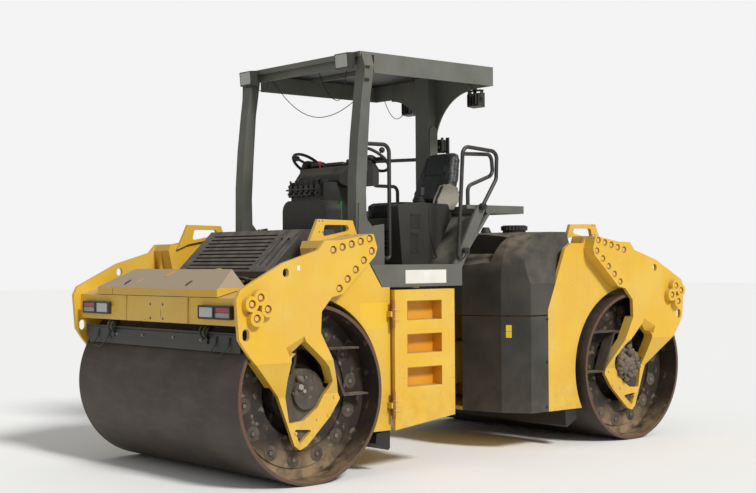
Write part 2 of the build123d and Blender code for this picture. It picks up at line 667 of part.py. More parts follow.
# ---- platform ---------------------------------------------------------------
BACK_FOOT = (-800.0, -40.0)   # sloping back panel, front corners: (ahead, above)
BACK_HEAD = (-1160.0, 390.0)
BACK_PLATE = 30.0
STRUT = [(-755, -40), (-853, -40), (-1133, SHELF_RISE), (-1035, SHELF_RISE)]
SKIRT_TOE = 60.0              # the skirt's front leans forward along the frame's edge


def platform():
    """Floor, side skirts, sloping back panel with its struts, and the shelf behind the seat."""
    x = (FLOOR_BACK, FLOOR_FRONT)
    body = block(x, (-FRAME_HALF, FRAME_HALF), (FLOOR_TOP - FLOOR_PLATE, FLOOR_TOP))
    body += block((FLOOR_FRONT - 20, FLOOR_FRONT), (-FRAME_HALF, FRAME_HALF), (SKIRT_LOW + 70, FLOOR_TOP))
    skirt = [(FLOOR_BACK, SKIRT_LOW), (FLOOR_FRONT - 42, SKIRT_LOW), (FLOOR_FRONT + SKIRT_TOE, FLOOR_TOP),
             (FLOOR_BACK, FLOOR_TOP)]
    body += joined_sides(slab(skirt, "y", FRAME_HALF - SKIRT_PLATE, FRAME_HALF))
    back = [BACK_FOOT, (BACK_FOOT[0] - BACK_PLATE, BACK_FOOT[1]),
            (BACK_HEAD[0] - BACK_PLATE, BACK_HEAD[1]), BACK_HEAD]
    body += slab(from_floor(back), "y", -STRUT_IN, STRUT_IN)
    body += joined_sides(slab(from_floor(STRUT), "y", STRUT_IN, STRUT_OUT))
    body += block((SHELF_FRONT - SHELF_LENGTH, SHELF_FRONT), (-STRUT_IN, STRUT_IN),
                  (SHELF_TOP - SHELF_PLATE, SHELF_TOP))
    wing = block((SHELF_FRONT - 20, SHELF_FRONT + 205), (STRUT_IN - 90, STRUT_IN), (SHELF_TOP - 30, SHELF_TOP))
    body += joined_sides(wing)
    body += block((BAY_BACK, BAY_BACK + 60), (-BAY_HALF, BAY_HALF), (SKIRT_LOW, FLOOR_TOP - 20))
    return body


def step_box(side):
    """Box beside the engine bay that the step door closes."""
    y = (BAY_HALF, DOOR_IN - DOOR_GAP)
    body = block((BOX_BACK, BULKHEAD), y, (GROUND_CLEAR + 100, BOX_TOP))
    body -= block((BOX_BACK + 20, BULKHEAD - 20), (y[0] + 20, y[1]), (GROUND_CLEAR + 120, BOX_TOP - 20))
    return sided(body, side)


def step_door(side):
    """Door with foot pockets one over another, hinged along its front edge."""
    front = BOX_FRONT - 10
    outline = [(BOX_BACK, GROUND_CLEAR + 70), (BOX_BACK, BOX_TOP), (front, BOX_TOP), (front, GROUND_CLEAR)]
    body = slab(outline, "y", DOOR_IN, DOOR_OUT)
    back = front - 120 - STEP_WIDTH
    bottom = DOOR_OUT - STEP_DEPTH
    for index in range(STEP_COUNT):
        top = BOX_TOP - 80 - STEP_PITCH * index
        low = top - STEP_HEIGHT
        shell = ((back - STEP_WALL, front - 120 + STEP_WALL), (bottom, DOOR_IN), (low - STEP_WALL, top + STEP_WALL))
        body += block(*shell)
        body -= block((back, front - 120), (bottom + STEP_WALL, DOOR_OUT), (low, top))
    x, y = door_pin()
    for up in DOOR_HINGES:
        z = AXLE_Z + up
        body += upright(x, y, DOOR_PIN, z - 50, z + 50)
        for middle in (z - 36, z + 36):
            body += upright(x, y, DOOR_KNUCKLE, middle - 15, middle + 15)
            body += block((BOX_FRONT - 60, x), (DOOR_OUT - 2, y), (middle - 15, middle + 15))
    return sided(body, side)


ENGINE_HALF = 330.0
ENGINE_LOW = 450.0
MOUNT_HALF = 40.0


def engine_block():
    """Plain mass for the engine, on four mounts that stand on the bay's floor."""
    x0, x1 = BAY_BACK + 120, BULKHEAD - 30
    body = block((x0, x1), (-ENGINE_HALF, ENGINE_HALF), (ENGINE_LOW, SKIRT_LOW - 40))
    for x in (x0 + 2 * MOUNT_HALF, x1 - 2 * MOUNT_HALF):
        for y in (60 - ENGINE_HALF, ENGINE_HALF - 60):
            body += block((x - MOUNT_HALF, x + MOUNT_HALF), (y - MOUNT_HALF, y + MOUNT_HALF),
                          (GROUND_CLEAR + BAY_WALL, ENGINE_LOW))
    return body


HOOD_LOW = 790.0              # above the axle
HOOD_REAR = -570.0            # ahead of the axle
HOOD_BROW = (-295.0, 1130.0)  # where the top turns down
SLOPE_TOP = (-275.0, 1110.0)
SLOPE_FOOT = (20.0, 830.0)
LONG_SLOTS = (420.0, 500.0)   # two slots that run down the slope beside the louvres


def louvre_hood():
    """Sloping hood in front of the platform with a bank of louvre slots."""
    skin = HOOD_SKIN
    outer = [(HOOD_REAR, HOOD_LOW), (HOOD_REAR, HOOD_BROW[1]), HOOD_BROW, SLOPE_TOP, SLOPE_FOOT,
             (SLOPE_FOOT[0], HOOD_LOW)]
    inner = [(HOOD_REAR + skin, HOOD_LOW - 10), (HOOD_REAR + skin, HOOD_BROW[1] - skin),
             (HOOD_BROW[0] - 5, HOOD_BROW[1] - skin), (SLOPE_TOP[0] - 7, SLOPE_TOP[1] - 12),
             (SLOPE_FOOT[0] - skin, SLOPE_FOOT[1] - 8), (SLOPE_FOOT[0] - skin, HOOD_LOW - 10)]
    body = slab(from_axle(outer), "y", -HOOD_HALF, HOOD_HALF)
    body -= slab(from_axle(inner), "y", skin - HOOD_HALF, HOOD_HALF - skin)
    run = SLOPE_FOOT[0] - SLOPE_TOP[0]
    drop = SLOPE_TOP[1] - SLOPE_FOOT[1]
    lean = Rot(0, math.degrees(math.atan2(drop, run)), 0)
    for index in range(LOUVRE_COUNT):
        share = (index + 0.7) / (LOUVRE_COUNT + 0.4)
        x, z = from_axle([(SLOPE_TOP[0] + run * share, SLOPE_TOP[1] - drop * share)])[0]
        slot = Box(LOUVRE_GAP, LOUVRE_SPAN[1] - LOUVRE_SPAN[0], 4 * skin)
        body -= Pos(x, sum(LOUVRE_SPAN) / 2, z) * lean * slot
    x, z = from_axle([(SLOPE_TOP[0] + run / 2, SLOPE_TOP[1] - drop / 2)])[0]
    for y in LONG_SLOTS:
        body -= Pos(x, y, z) * lean * Box(0.7 * math.hypot(run, drop), 2 * LOUVRE_GAP, 4 * skin)
    x, z = HOOD_PIN
    ear = [(HOOD_REAR, z - 52), (HOOD_REAR, z - 13), (x + 8, z + 10), (x - 8, z + 6), (x - 8, z - 8),
           (x + 4, z - 12)]
    return body + lid_ears(from_axle(ear), from_axle([HOOD_PIN])[0], HOOD_HINGES)


# ---- operator's place -------------------------------------------------------
BELLOWS = 4


def back_reach(above):
    """How far ahead of the floor's front edge the back panel is, at a height above the floor."""
    lean = (BACK_FOOT[0] - BACK_HEAD[0]) / (BACK_HEAD[1] - BACK_FOOT[1])
    return BACK_FOOT[0] - lean * (above - BACK_FOOT[1])


def seat_console():
    """Seat pedestal with its bellows, and the control box with its lever along the left side."""
    foot = back_reach(0) + 5
    head = back_reach(SEAT_RISE) + 5
    low = [(foot, 0), (-540, 0), (-540, 120), (back_reach(120) + 5, 120)]
    top = [(back_reach(260) + 5, 260), (-560, 260), (-600, SEAT_RISE), (head, SEAT_RISE)]
    y0, y1 = SEAT_Y - SEAT_HALF, SEAT_Y + SEAT_HALF
    body = slab(from_floor(low), "y", y0, y1) + slab(from_floor(top), "y", y0, y1)
    pitch = 140 / BELLOWS
    for index in range(BELLOWS):
        z = 120 + pitch * index
        fold = [(-880, z), (-600, z), (-585, z + pitch / 2), (-600, z + pitch), (-880, z + pitch)]
        body += slab(from_floor(fold), "y", y0 + 20, y1 - 20)
    pod = [(foot + 20, 0), (-520, 0), (-480, 450), (-700, 470), (-1000, 465), (-1040, 370)]
    body += slab(from_floor(pod), "y", y1, y1 + POD_WIDTH, CORNER)
    rest = [(-1100, 430), (-935, 430), (-1010, 610), (-1060, 620), (-1180, 570)]
    body += slab(from_floor(rest), "y", y1 + 35, y1 + 75, CORNER)
    x, z = from_floor([(-770, 440)])[0]
    y = y1 + POD_WIDTH / 2
    body += bar((x, y, z), (x - 10, y, z + 100), 8)
    return body + bar((x - 8, y, z + 90), (x - 14, y, z + 150), 22)


def seat_cushion():
    """Plain solid of the seat's cushion."""
    low = FLOOR_TOP + SEAT_RISE + SEAT_GAP
    x = (FLOOR_FRONT - 1120, FLOOR_FRONT - 630)
    return block(x, (SEAT_Y - SEAT_HALF, SEAT_Y + SEAT_HALF), (low, low + CUSHION))


def seat_back():
    """Backrest that narrows to a rounded top, on the cushion's back edge."""
    side = [(-1120 - 0.5, 455), (-1210, 455), (-1375, 910), (-1300, 930), (-1120 - 0.5, 520)]
    body = slab(from_floor(side), "y", SEAT_Y - SEAT_HALF, SEAT_Y + SEAT_HALF)
    low, high = FLOOR_TOP + 440, FLOOR_TOP + 940
    front = [(SEAT_Y - SEAT_HALF, low), (SEAT_Y + SEAT_HALF, low), (SEAT_Y + SEAT_HALF, low + 180),
             (SEAT_Y + 155, high), (SEAT_Y - 155, high), (SEAT_Y - SEAT_HALF, low + 180)]
    return body & slab(front, "x", FLOOR_FRONT - 1400, FLOOR_FRONT - 1000, 80)


COLUMN_FOOT = (-360.0, 670.0)  # (ahead, above)
COLUMN_HEAD = (-455.0, 795.0)
DASH_SIDE = [(-480, 600), (-300, 600), (-262, 640), (-270, 700), (-330, 762), (-440, 775), (-490, 720)]
DASH_PLAN = [(-500, 470), (-430, 470), (-262, 235)]   # (ahead, half width)


def column(y):
    x0, z0 = from_floor([COLUMN_FOOT])[0]
    x1, z1 = from_floor([COLUMN_HEAD])[0]
    return bar((x1, y, z1), (x0, y, z0), COLUMN_RADIUS)


def console():
    """Pedestal, round-cornered front panel with the valve block on it, and the dashboard hull."""
    body = block((FLOOR_FRONT - 420, FLOOR_FRONT - 240), (-200, 200), (FLOOR_TOP, FLOOR_TOP + 620))
    body += block((FLOOR_FRONT - 300, FLOOR_FRONT - 130), (-190, 215), (FLOOR_TOP + 480, FLOOR_TOP + 635))
    left = [(FLOOR_FRONT + ahead, half) for ahead, half in DASH_PLAN]
    right = [(x, -y) for x, y in reversed(left)]
    dash = slab(from_floor(DASH_SIDE), "y", -DASH_HALF, DASH_HALF, 2 * CORNER)
    dash &= slab(left + right, "z", FLOOR_TOP + 450, FLOOR_TOP + 800, 3 * CORNER)
    panel = [(-272, FLOOR_TOP - 100), (272, FLOOR_TOP - 100), (272, FLOOR_TOP + 500), (-272, FLOOR_TOP + 500)]
    plate = slab(panel, "x", FLOOR_FRONT - 260, FLOOR_FRONT - 105, 5 * CORNER)
    body += dash + (plate & block((0, AXLE_X), (-300, 300), (FLOOR_TOP, ROOF_TOP)))
    return body - column(WHEEL_Y) - column(-WHEEL_Y)


def wheel_rim():
    """Octagonal-section ring of the steering wheel, lying flat about its own centre."""
    points = []
    for index in range(8):
        angle = math.pi * (index + 0.5) / 4
        points.append((WHEEL_RADIUS + WHEEL_RIM * math.cos(angle), 0, WHEEL_RIM * math.sin(angle)))
    return revolve(make_face(Polyline(*points, close=True)), axis=Axis.Z)


def steering_wheels():
    """A wheel and its column for each side of the console."""
    x, z = from_floor([COLUMN_HEAD])[0]
    lean = math.degrees(math.atan2(COLUMN_FOOT[0] - COLUMN_HEAD[0], COLUMN_HEAD[1] - COLUMN_FOOT[1]))
    wheels = []
    for y in (-WHEEL_Y, WHEEL_Y):
        spot = Pos(x, y, z) * Rot(0, -lean, 0)
        body = wheel_rim() + Pos(0, 0, -5) * Cylinder(40, 34)
        for angle in (90, 210, 330):
            body += Rot(0, 0, angle) * Pos(WHEEL_RADIUS / 2, 0, 0) * Box(WHEEL_RADIUS, 26, 12)
        wheels.append(spot * Pos(0, 0, 15) * body + column(y))
    return Compound(children=wheels)


# ---- posts, roof and lights -------------------------------------------------
POST_FRONT = [(5, 0), (0, 620), (-21, 920), (-55, 1210)]              # (ahead, above)
POST_REAR = [(-138, 1210), (-113, 866), (-93, 534), (-97, 330), (-150, 268), (-170, 240), (-170, 0)]
POST_HEAD = (-190.0, -100.0)
HEAD_PLATE = [(-124, 1340), (-78, 1340), (-82, 1456), (-130, 1456)]
HEAD_BEVEL = 90.0             # height of the bevel that leads the post under the roof
FOOT_GUSSET = [(0, 0), (-17, 448), (-60, 440), (-97, 326), (-165, 258), (-165, 0)]
FOOT_PLATE = [(-160, 0), (-282, 0), (-282, 300), (-160, 280)]


def post_core():
    """The left front post with its foot plate, without the plates on its outside."""
    above = ROOF_RISE - ROOF_SKIN
    outline = POST_FRONT + [(POST_HEAD[1], above), (POST_HEAD[0], above)] + POST_REAR
    body = slab(from_floor(outline), "y", POST_OUT - POST_WIDTH, POST_OUT)
    bevel = [(POST_OUT + 1, ROOF_UNDER - HEAD_BEVEL), (POST_OUT + 1, ROOF_UNDER + 1), (ROOF_HALF, ROOF_UNDER + 1)]
    body -= slab(bevel, "x", FLOOR_FRONT - 300, FLOOR_FRONT)
    return body + slab(from_floor(FOOT_PLATE), "y", POST_OUT - 50, POST_OUT - 20)


def front_posts():
    """Two folded posts that lean back above the waist, with a head plate and a foot gusset each."""
    body = post_core()
    body += slab(from_floor(HEAD_PLATE), "y", POST_OUT, POST_OUT + 8)
    body += slab(from_floor(FOOT_GUSSET), "y", POST_OUT, POST_OUT + 10)
    return both_sides(body)


def rear_post():
    """Central post with a gusset that spreads in two arcs under the roof, and a side plate."""
    front = REAR_POST_X + REAR_POST_DEPTH
    body = block((REAR_POST_X, front), (-REAR_POST_HALF, REAR_POST_HALF), (SHELF_TOP, ROOF_UNDER))
    low = (REAR_POST_HALF - 1, ROOF_UNDER - 466)
    middle = (205, ROOF_UNDER - 261)
    high = (480, ROOF_UNDER - 146)
    x = REAR_POST_X
    curve = ThreePointArc(*[place(pair, "x", x) for pair in (high, middle, low)])
    lines = Polyline(*[place(pair, "x", x) for pair in (low, (0, low[1]), (0, ROOF_UNDER), (480, ROOF_UNDER), high)])
    wing = extrude(make_face([curve, *lines.edges()]), amount=WING_PLATE, dir=(1, 0, 0))
    behind = REAR_POST_X + WING_PLATE
    plate = [(behind, SHELF_TOP + 170), (front - 5, SHELF_TOP + 170), (front - 5, SHELF_TOP + 690),
             (behind, SHELF_TOP + 690)]
    body += joined_sides(wing)
    return body + slab(plate, "y", REAR_POST_HALF, REAR_POST_HALF + 12, 40)


def roof():
    """Roof tray: top sheet, deep fascias, a front lip with the beam behind it and a rib."""
    low = ROOF_TOP - ROOF_DEPTH
    x = (ROOF_BACK, ROOF_FRONT)
    body = block(x, (-ROOF_HALF, ROOF_HALF), (ROOF_UNDER, ROOF_TOP))
    side = block((ROOF_BACK, ROOF_FRONT - 135), (ROOF_HALF - FASCIA_PLATE, ROOF_HALF), (low, ROOF_TOP))
    body += joined_sides(side)
    body += block((ROOF_BACK, ROOF_BACK + FASCIA_PLATE), (-ROOF_HALF, ROOF_HALF), (low, ROOF_TOP))
    body += block((ROOF_FRONT - 8, ROOF_FRONT), (-ROOF_HALF, ROOF_HALF), (ROOF_TOP - 40, ROOF_TOP))
    inside = ROOF_HALF - POST_WIDTH
    for x0, depth in ((ROOF_FRONT - 75, 90), (ROOF_FRONT - 620, 50)):
        body += block((x0, x0 + 30), (-inside, inside), (ROOF_TOP - depth, ROOF_UNDER + 5))
    return body


def work_lights(rear):
    """Lamps on short brackets at the roof's corners."""
    if rear:
        x = ROOF_BACK - 152
        z = ROOF_TOP - ROOF_DEPTH
        housing = [(x, z - 136), (x + 75, z - 128), (x + 75, z - 24), (x, z - 16)]
        lamp = slab(housing, "y", 340, 470)
        lamp += block((x + 40, x + 60), (395, 415), (z - 22, z + 15))
        lamp += block((x + 40, ROOF_BACK), (385, 425), (z + 8, z + 18))
    else:
        x = ROOF_FRONT
        housing = [(x + 25, ROOF_TOP - 134), (x + 87, ROOF_TOP - 126), (x + 96, ROOF_TOP - 16),
                   (x + 25, ROOF_TOP - 8)]
        lamp = slab(housing, "y", 535, 685)
        lamp += block((x, x + 25), (585, 635), (ROOF_TOP - 38, ROOF_TOP - 8))
    return both_sides(lamp)


ENTRY = [(-100, 888), (-347, 890), (-347, 19), (-240, 84)]             # (ahead, above)
ENTRY_BENDS = [TUBE_BEND, 30]
ENTRY_SET = 35.0              # post's outside to the entry rail
HOOP = [(-882, 98), (-800, -20), (-862, 888), (-1225, 862), (-1215, 650), (-1065, 440)]
HOOP_BENDS = [26, TUBE_BEND, TUBE_BEND, TUBE_BEND]
INNER_HOOP = [(-992, SHELF_RISE), (-992, 595), (-1265, 690), (-1250, 848)]
INNER_END = (-859, 830)
INNER_SET = 85.0              # inner hoop to the outer one
GUARD = [(-120, 428), (-742, 448), (-732, 236), (-405, 212), (-405, 0)]   # (y, above the shelf)
CLAMPS = [(-882, 98), (-1067, 437)]


def handrails():
    """Entry rail on the left front post, hoops beside the seat, and the guard behind it."""
    y = POST_OUT - ENTRY_SET
    entry = pipe([(x, y, z) for x, z in from_floor(ENTRY)], ENTRY_BENDS, TUBE_RADIUS) - post_core()
    hoop = pipe([(x, RAIL_Y, z) for x, z in from_floor(HOOP)], HOOP_BENDS, TUBE_RADIUS)
    for x, z in from_floor(CLAMPS):
        hoop += disc(x, z, 27, STRUT_OUT, RAIL_Y + TUBE_RADIUS + 5)
    inner = [(x, RAIL_Y - INNER_SET, z) for x, z in from_floor(INNER_HOOP)]
    x, z = from_floor([INNER_END])[0]
    hoop += pipe([*inner, (x, RAIL_Y, z)], TUBE_BEND, TUBE_RADIUS)
    x = ROOF_BACK + 36
    points = [(x, y, SHELF_TOP + above) for y, above in GUARD]
    guard = pipe([(x, -REAR_POST_HALF, points[0][2]), *points], TUBE_BEND, TUBE_RADIUS)
    return Compound(children=[*entry.solids(), *both_sides(hoop).solids(), *guard.solids()])


# ---- wires under the roof ---------------------------------------------------
WIRE_RADIUS = 3.0
# Each wire's points: (behind the roof's front edge, y, below its top)
WIRES = {
    "roof_wire_long": [
        (60, -450, 87), (59, -394, 144), (58, -338, 195), (57, -282, 242), (56, -227, 284),
        (55, -171, 321), (54, -115, 352), (53, -59, 380), (52, -3, 402), (51, 52, 419), (51, 108, 431),
        (50, 164, 439), (49, 220, 441), (48, 276, 439), (47, 333, 433), (46, 389, 423), (45, 446, 409),
        (44, 502, 391), (43, 558, 370), (42, 615, 344), (41, 671, 314)],
    "roof_wire_loop": [
        (60, -671, 116), (60, -645, 139), (60, -620, 155), (60, -594, 165), (60, -568, 168),
        (60, -545, 159), (60, -523, 132), (60, -500, 87)],
    "roof_wire_centre": [
        (375, -250, 17), (375, -219, 76), (375, -188, 128), (375, -156, 171), (375, -125, 207),
        (375, -94, 234), (375, -62, 254), (375, -31, 266), (375, 0, 270), (375, 18, 263),
        (375, 37, 242), (375, 55, 207), (375, 73, 158), (375, 92, 94), (375, 110, 17)],
    "lamp_wire": [
        (1376, -600, 147), (1390, -584, 204), (1405, -568, 249), (1419, -552, 281), (1433, -536, 300),
        (1448, -520, 306), (1463, -502, 299), (1479, -485, 279), (1495, -467, 246)],
}


def wire(name):
    """Straight runs joined by arcs that touch them, each arc as wide as its runs allow."""
    points = [Vector(ROOF_FRONT - behind, y, ROOF_TOP - below) for behind, y, below in WIRES[name]]
    radii = []
    for before, here, after in zip(points, points[1:], points[2:]):
        one, two = here - before, after - here
        turn = math.radians(one.get_angle(two))
        radii.append(0.45 * min(one.length, two.length) / math.tan(turn / 2))
    path = FilletPolyline(*points, radius=radii)
    body = sweep(Plane(origin=path @ 0, z_dir=path % 0) * Circle(WIRE_RADIUS), path=path)
    straight = math.pi * WIRE_RADIUS ** 2 * path.length
    print(name, "length", round(path.length), "smallest radius", round(min(radii)),
          "volume share", round(body.volume / straight, 3))
    return body


# ---- all pieces -------------------------------------------------------------
def pieces():
    table = {
        "front_frame": front_frame(),
        "rear_frame": rear_frame(),
        "articulation_link": articulation_link(),
        "engine_block": engine_block(),
        "louvre_hood": louvre_hood(),
        "platform": platform(),
        "console": console(),
        "steering_wheels": steering_wheels(),
        "seat_console": seat_console(),
        "seat_cushion": seat_cushion(),
        "seat_back": seat_back(),
        "front_posts": front_posts(),
        "rear_post": rear_post(),
        "roof": roof(),
        "front_work_lights": work_lights(False),
        "rear_work_lights": work_lights(True),
        "handrails": handrails(),
        "water_tank": water_tank(),
        "side_panels": side_panels(),
        "breather_dome": breather_dome(),
        "tank_cap": tank_cap(),
    }
    for end in ENDS:
        table[end + "_drum"] = drum(end)
        table[end + "_crossbeam"] = crossbeam(end)
        table[end + "_cover"] = cover(end)
        table[end + "_lifting_lugs"] = lifting_lugs(end)
        table[end + "_scraper"] = scraper(end)
        table[end + "_lamps"] = lamps(end)
        for side in SIDES:
            table[end + "_fork_" + side] = fork(end, side)
            table[end + "_hub_" + side] = hub(end, side)
    for name in WIRES:
        table[name] = wire(name)
    for side in SIDES:
        table["step_box_" + side] = step_box(side)
        table["step_door_" + side] = step_door(side)
    return table


os.makedirs("parts", exist_ok=True)
for name, shape in pieces().items():
    shape.label = name
    export_step(shape, os.path.join("parts", name + ".step"))
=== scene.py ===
import json
import math
import random
import bmesh
import bpy
from mathutils import Matrix, Vector, noise


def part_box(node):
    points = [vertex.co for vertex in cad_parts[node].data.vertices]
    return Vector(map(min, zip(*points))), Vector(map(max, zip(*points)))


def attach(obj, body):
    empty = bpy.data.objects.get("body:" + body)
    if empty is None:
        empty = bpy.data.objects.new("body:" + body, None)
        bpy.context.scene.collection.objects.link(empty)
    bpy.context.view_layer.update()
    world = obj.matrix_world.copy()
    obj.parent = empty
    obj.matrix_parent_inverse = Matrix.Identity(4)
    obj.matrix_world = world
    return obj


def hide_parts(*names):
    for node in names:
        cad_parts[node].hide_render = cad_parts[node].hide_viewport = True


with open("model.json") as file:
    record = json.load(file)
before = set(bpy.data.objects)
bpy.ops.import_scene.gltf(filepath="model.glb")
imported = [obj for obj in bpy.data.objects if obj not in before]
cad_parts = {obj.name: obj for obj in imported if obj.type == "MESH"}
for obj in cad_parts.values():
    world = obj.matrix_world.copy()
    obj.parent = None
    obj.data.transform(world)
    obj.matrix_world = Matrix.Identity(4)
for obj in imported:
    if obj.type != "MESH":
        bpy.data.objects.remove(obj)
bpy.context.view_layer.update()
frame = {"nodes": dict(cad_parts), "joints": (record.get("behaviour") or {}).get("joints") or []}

# Finishes, lamps, seat, fasteners and dirt of a tandem road roller, in metres, round the
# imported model.  +X is forward, +Y is left, +Z is up.

# ---- places read from the frame ----
JOINT = {joint["name"]: Vector(joint["pos_m"]) for joint in frame["joints"]}
AXLE = JOINT["front_roll_spin"]
AXLES = {"front": AXLE.x, "rear": JOINT["rear_roll_spin"].x}
SIDES = {"left": 1, "right": -1}
DRUM_R = AXLE.z
DRUM_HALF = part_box("front_drum")[1].y
BOSS_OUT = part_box("front_fork_left")[1].y
FORK_OUT = BOSS_OUT - 0.047                            # the fork's plate, inside its bosses
FLOOR_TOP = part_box("front_posts")[0].z
FLOOR_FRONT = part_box("front_posts")[1].x - 0.005       # the posts' feet stand 5 mm past the floor
HEAD_PLATE_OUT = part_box("front_posts")[1].y - 0.002    # the foot gussets are 2 mm thicker
ROOF_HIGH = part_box("roof")[1]
SIDE_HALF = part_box("side_panels")[1].y
BEAM_OUT = 0.586                                       # beam's face and scraper's, past the axle
SCRAPER_OUT = 0.555
random.seed(12)


# ---- small helpers ----
def linear(code):
    """An sRGB hex colour as linear RGBA."""
    channels = [int(code[i:i + 2], 16) / 255 for i in (1, 3, 5)]
    return [c / 12.92 if c <= 0.04045 else ((c + 0.055) / 1.055) ** 2.4 for c in channels] + [1.0]


def feed(tree, node, inputs):
    """Fill a node's inputs, by name or in its own order: a value, the socket that feeds it or several."""
    for name, value in (inputs if isinstance(inputs, dict) else dict(enumerate(inputs))).items():
        several = isinstance(value, list) and isinstance(value[0], bpy.types.NodeSocket)
        for item in value if several else [value]:
            if isinstance(item, bpy.types.NodeSocket):
                tree.links.new(item, node.inputs[name])
            else:
                node.inputs[name].default_value = item


def add(tree, kind, inputs=(), **settings):
    """One node with its settings and its links; what comes back is its outputs."""
    node = tree.nodes.new(kind)
    for name, value in settings.items():
        setattr(node, name, value)
    feed(tree, node, inputs)
    return node.outputs


def turned_to(direction):
    """Rotation that takes +Z to a direction."""
    return Vector(direction).to_track_quat("Z", "Y").to_matrix().to_4x4()


# The piece in hand: prism, brick, lathe and tube add to it, and meshed() takes it away.
BUILT = bmesh.new()


def prism(outline, low, high, place=Matrix()):
    """A closed outline of (u, v) pairs raised along w, put in place by a matrix."""
    rings = [[BUILT.verts.new(place @ Vector((u, v, w))) for u, v in outline] for w in (low, high)]
    BUILT.faces.new(rings[0][::-1])
    BUILT.faces.new(rings[1])
    count = len(outline)
    for i in range(count):
        j = (i + 1) % count
        BUILT.faces.new((rings[0][i], rings[0][j], rings[1][j], rings[1][i]))


def brick(low, high, place=Matrix()):
    """A plain block between two corners."""
    outline = [(low[0], low[1]), (high[0], low[1]), (high[0], high[1]), (low[0], high[1])]
    prism(outline, low[2], high[2], place)


def lathe(profile, steps, place=Matrix()):
    """A closed (radius, height) profile turned about the place's own Z."""
    rings = []
    for i in range(steps):
        turn = 2 * math.pi * i / steps
        rings.append([BUILT.verts.new(place @ Vector((r * math.cos(turn), r * math.sin(turn), h)))
                      for r, h in profile])
    count = len(profile)
    for i in range(steps):
        here, there = rings[i], rings[(i + 1) % steps]
        for j in range(count - 1):
            BUILT.faces.new((here[j], there[j], there[j + 1], here[j + 1]))
    BUILT.faces.new([ring[-1] for ring in rings])
    BUILT.faces.new([ring[0] for ring in rings][::-1])


def tube(points, radius, sides=10):
    """A round rod along a line of points, closed at both ends."""
    points = [Vector(p) for p in points]
    rings = []
    side = None
    for i, point in enumerate(points):
        ahead = (points[min(i + 1, len(points) - 1)] - points[max(i - 1, 0)]).normalized()
        if side is None:
            side = ahead.orthogonal().normalized()
        side = (side - ahead * side.dot(ahead)).normalized()
        other = ahead.cross(side)
        rings.append([BUILT.verts.new(point + (side * math.cos(a) + other * math.sin(a)) * radius)
                      for a in (2 * math.pi * k / sides for k in range(sides))])
    for here, there in zip(rings, rings[1:]):
        for k in range(sides):
            BUILT.faces.new((here[k], here[(k + 1) % sides], there[(k + 1) % sides], there[k]))
    BUILT.faces.new(rings[0][::-1])
    BUILT.faces.new(rings[-1])


def rounded(width, height, radius, steps=4):
    """Outline of a rectangle about the origin with rounded corners."""
    outline = []
    for cx, cy, start in ((1, 1, 0), (-1, 1, 90), (-1, -1, 180), (1, -1, 270)):
        for i in range(steps + 1):
            a = math.radians(start + 90 * i / steps)
            outline.append((cx * (width / 2 - radius) + radius * math.cos(a),
                            cy * (height / 2 - radius) + radius * math.sin(a)))
    return outline


def smooth_line(points, per_run=6):
    """A smooth line through given points, for rigid pipes."""
    points = [Vector(p) for p in points]
    line = []
    for i in range(len(points) - 1):
        a, b, c, d = (points[max(i - 1, 0)], points[i], points[i + 1], points[min(i + 2, len(points) - 1)])
        for k in range(per_run):
            t = k / per_run
            line.append(0.5 * (2 * b + (c - a) * t + (2 * a - 5 * b + 4 * c - d) * t * t
                               + (3 * b - a - 3 * c + d) * t ** 3))
    return line + [points[-1]]


def linked(name, data):
    """A new object of some data, in the scene."""
    obj = bpy.data.objects.new(name, data)
    bpy.context.scene.collection.objects.link(obj)
    return obj


def meshed(name):
    """The mesh of what was built, and an empty start for the next piece."""
    mesh = bpy.data.meshes.new(name)
    BUILT.to_mesh(mesh)
    BUILT.clear()
    return mesh


def baked(obj):
    """The mesh that an object's modifiers make of it."""
    graph = bpy.context.evaluated_depsgraph_get()
    return bpy.data.meshes.new_from_object(obj.evaluated_get(graph))


def made(name, material, body="front_module", bevel=0.0, angle=35):
    """What was built as a finished piece: outward faces, smooth under an angle, on its body."""
    bmesh.ops.remove_doubles(BUILT, verts=BUILT.verts, dist=1e-6)
    bmesh.ops.recalc_face_normals(BUILT, faces=BUILT.faces)
    mesh = meshed(name)
    mesh.shade_smooth()
    mesh.set_sharp_from_angle(angle=math.radians(angle))
    mesh.materials.append(material)
    obj = linked(name, mesh)
    if bevel:
        edge = obj.modifiers.new("edge", "BEVEL")
        edge.width = bevel
        edge.segments = 2
        edge.limit_method = "ANGLE"
    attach(obj, body)


def facing(spot, out, up=(0, 0, 1)):
    """Place whose own Z points out of a surface and whose own Y points up."""
    out = Vector(out).normalized()
    side = Vector(up).cross(out).normalized()
    return Matrix.Translation(spot) @ Matrix((side, out.cross(side), out)).transposed().to_4x4()


def ends():
    """Each end: its name, its axle's x, the way out from the middle, and its body."""
    for end, x in AXLES.items():
        yield end, x, (1 if x > 0 else -1), end + "_module"


def corners():
    """Each end with each side: what ends() gives, the side's name and the way to it."""
    for end, x, run, body in ends():
        for side, way in SIDES.items():
            yield end, x, run, body, side, way


# ---- camera ----
CAMERA_SPOT = (7.254, 8.226, 1.517)
YAW, PITCH, ROLL = (math.radians(a) for a in (-130.611, 0.565, -0.411))
FOCAL_LENGTH, SENSOR = 63.87, 36


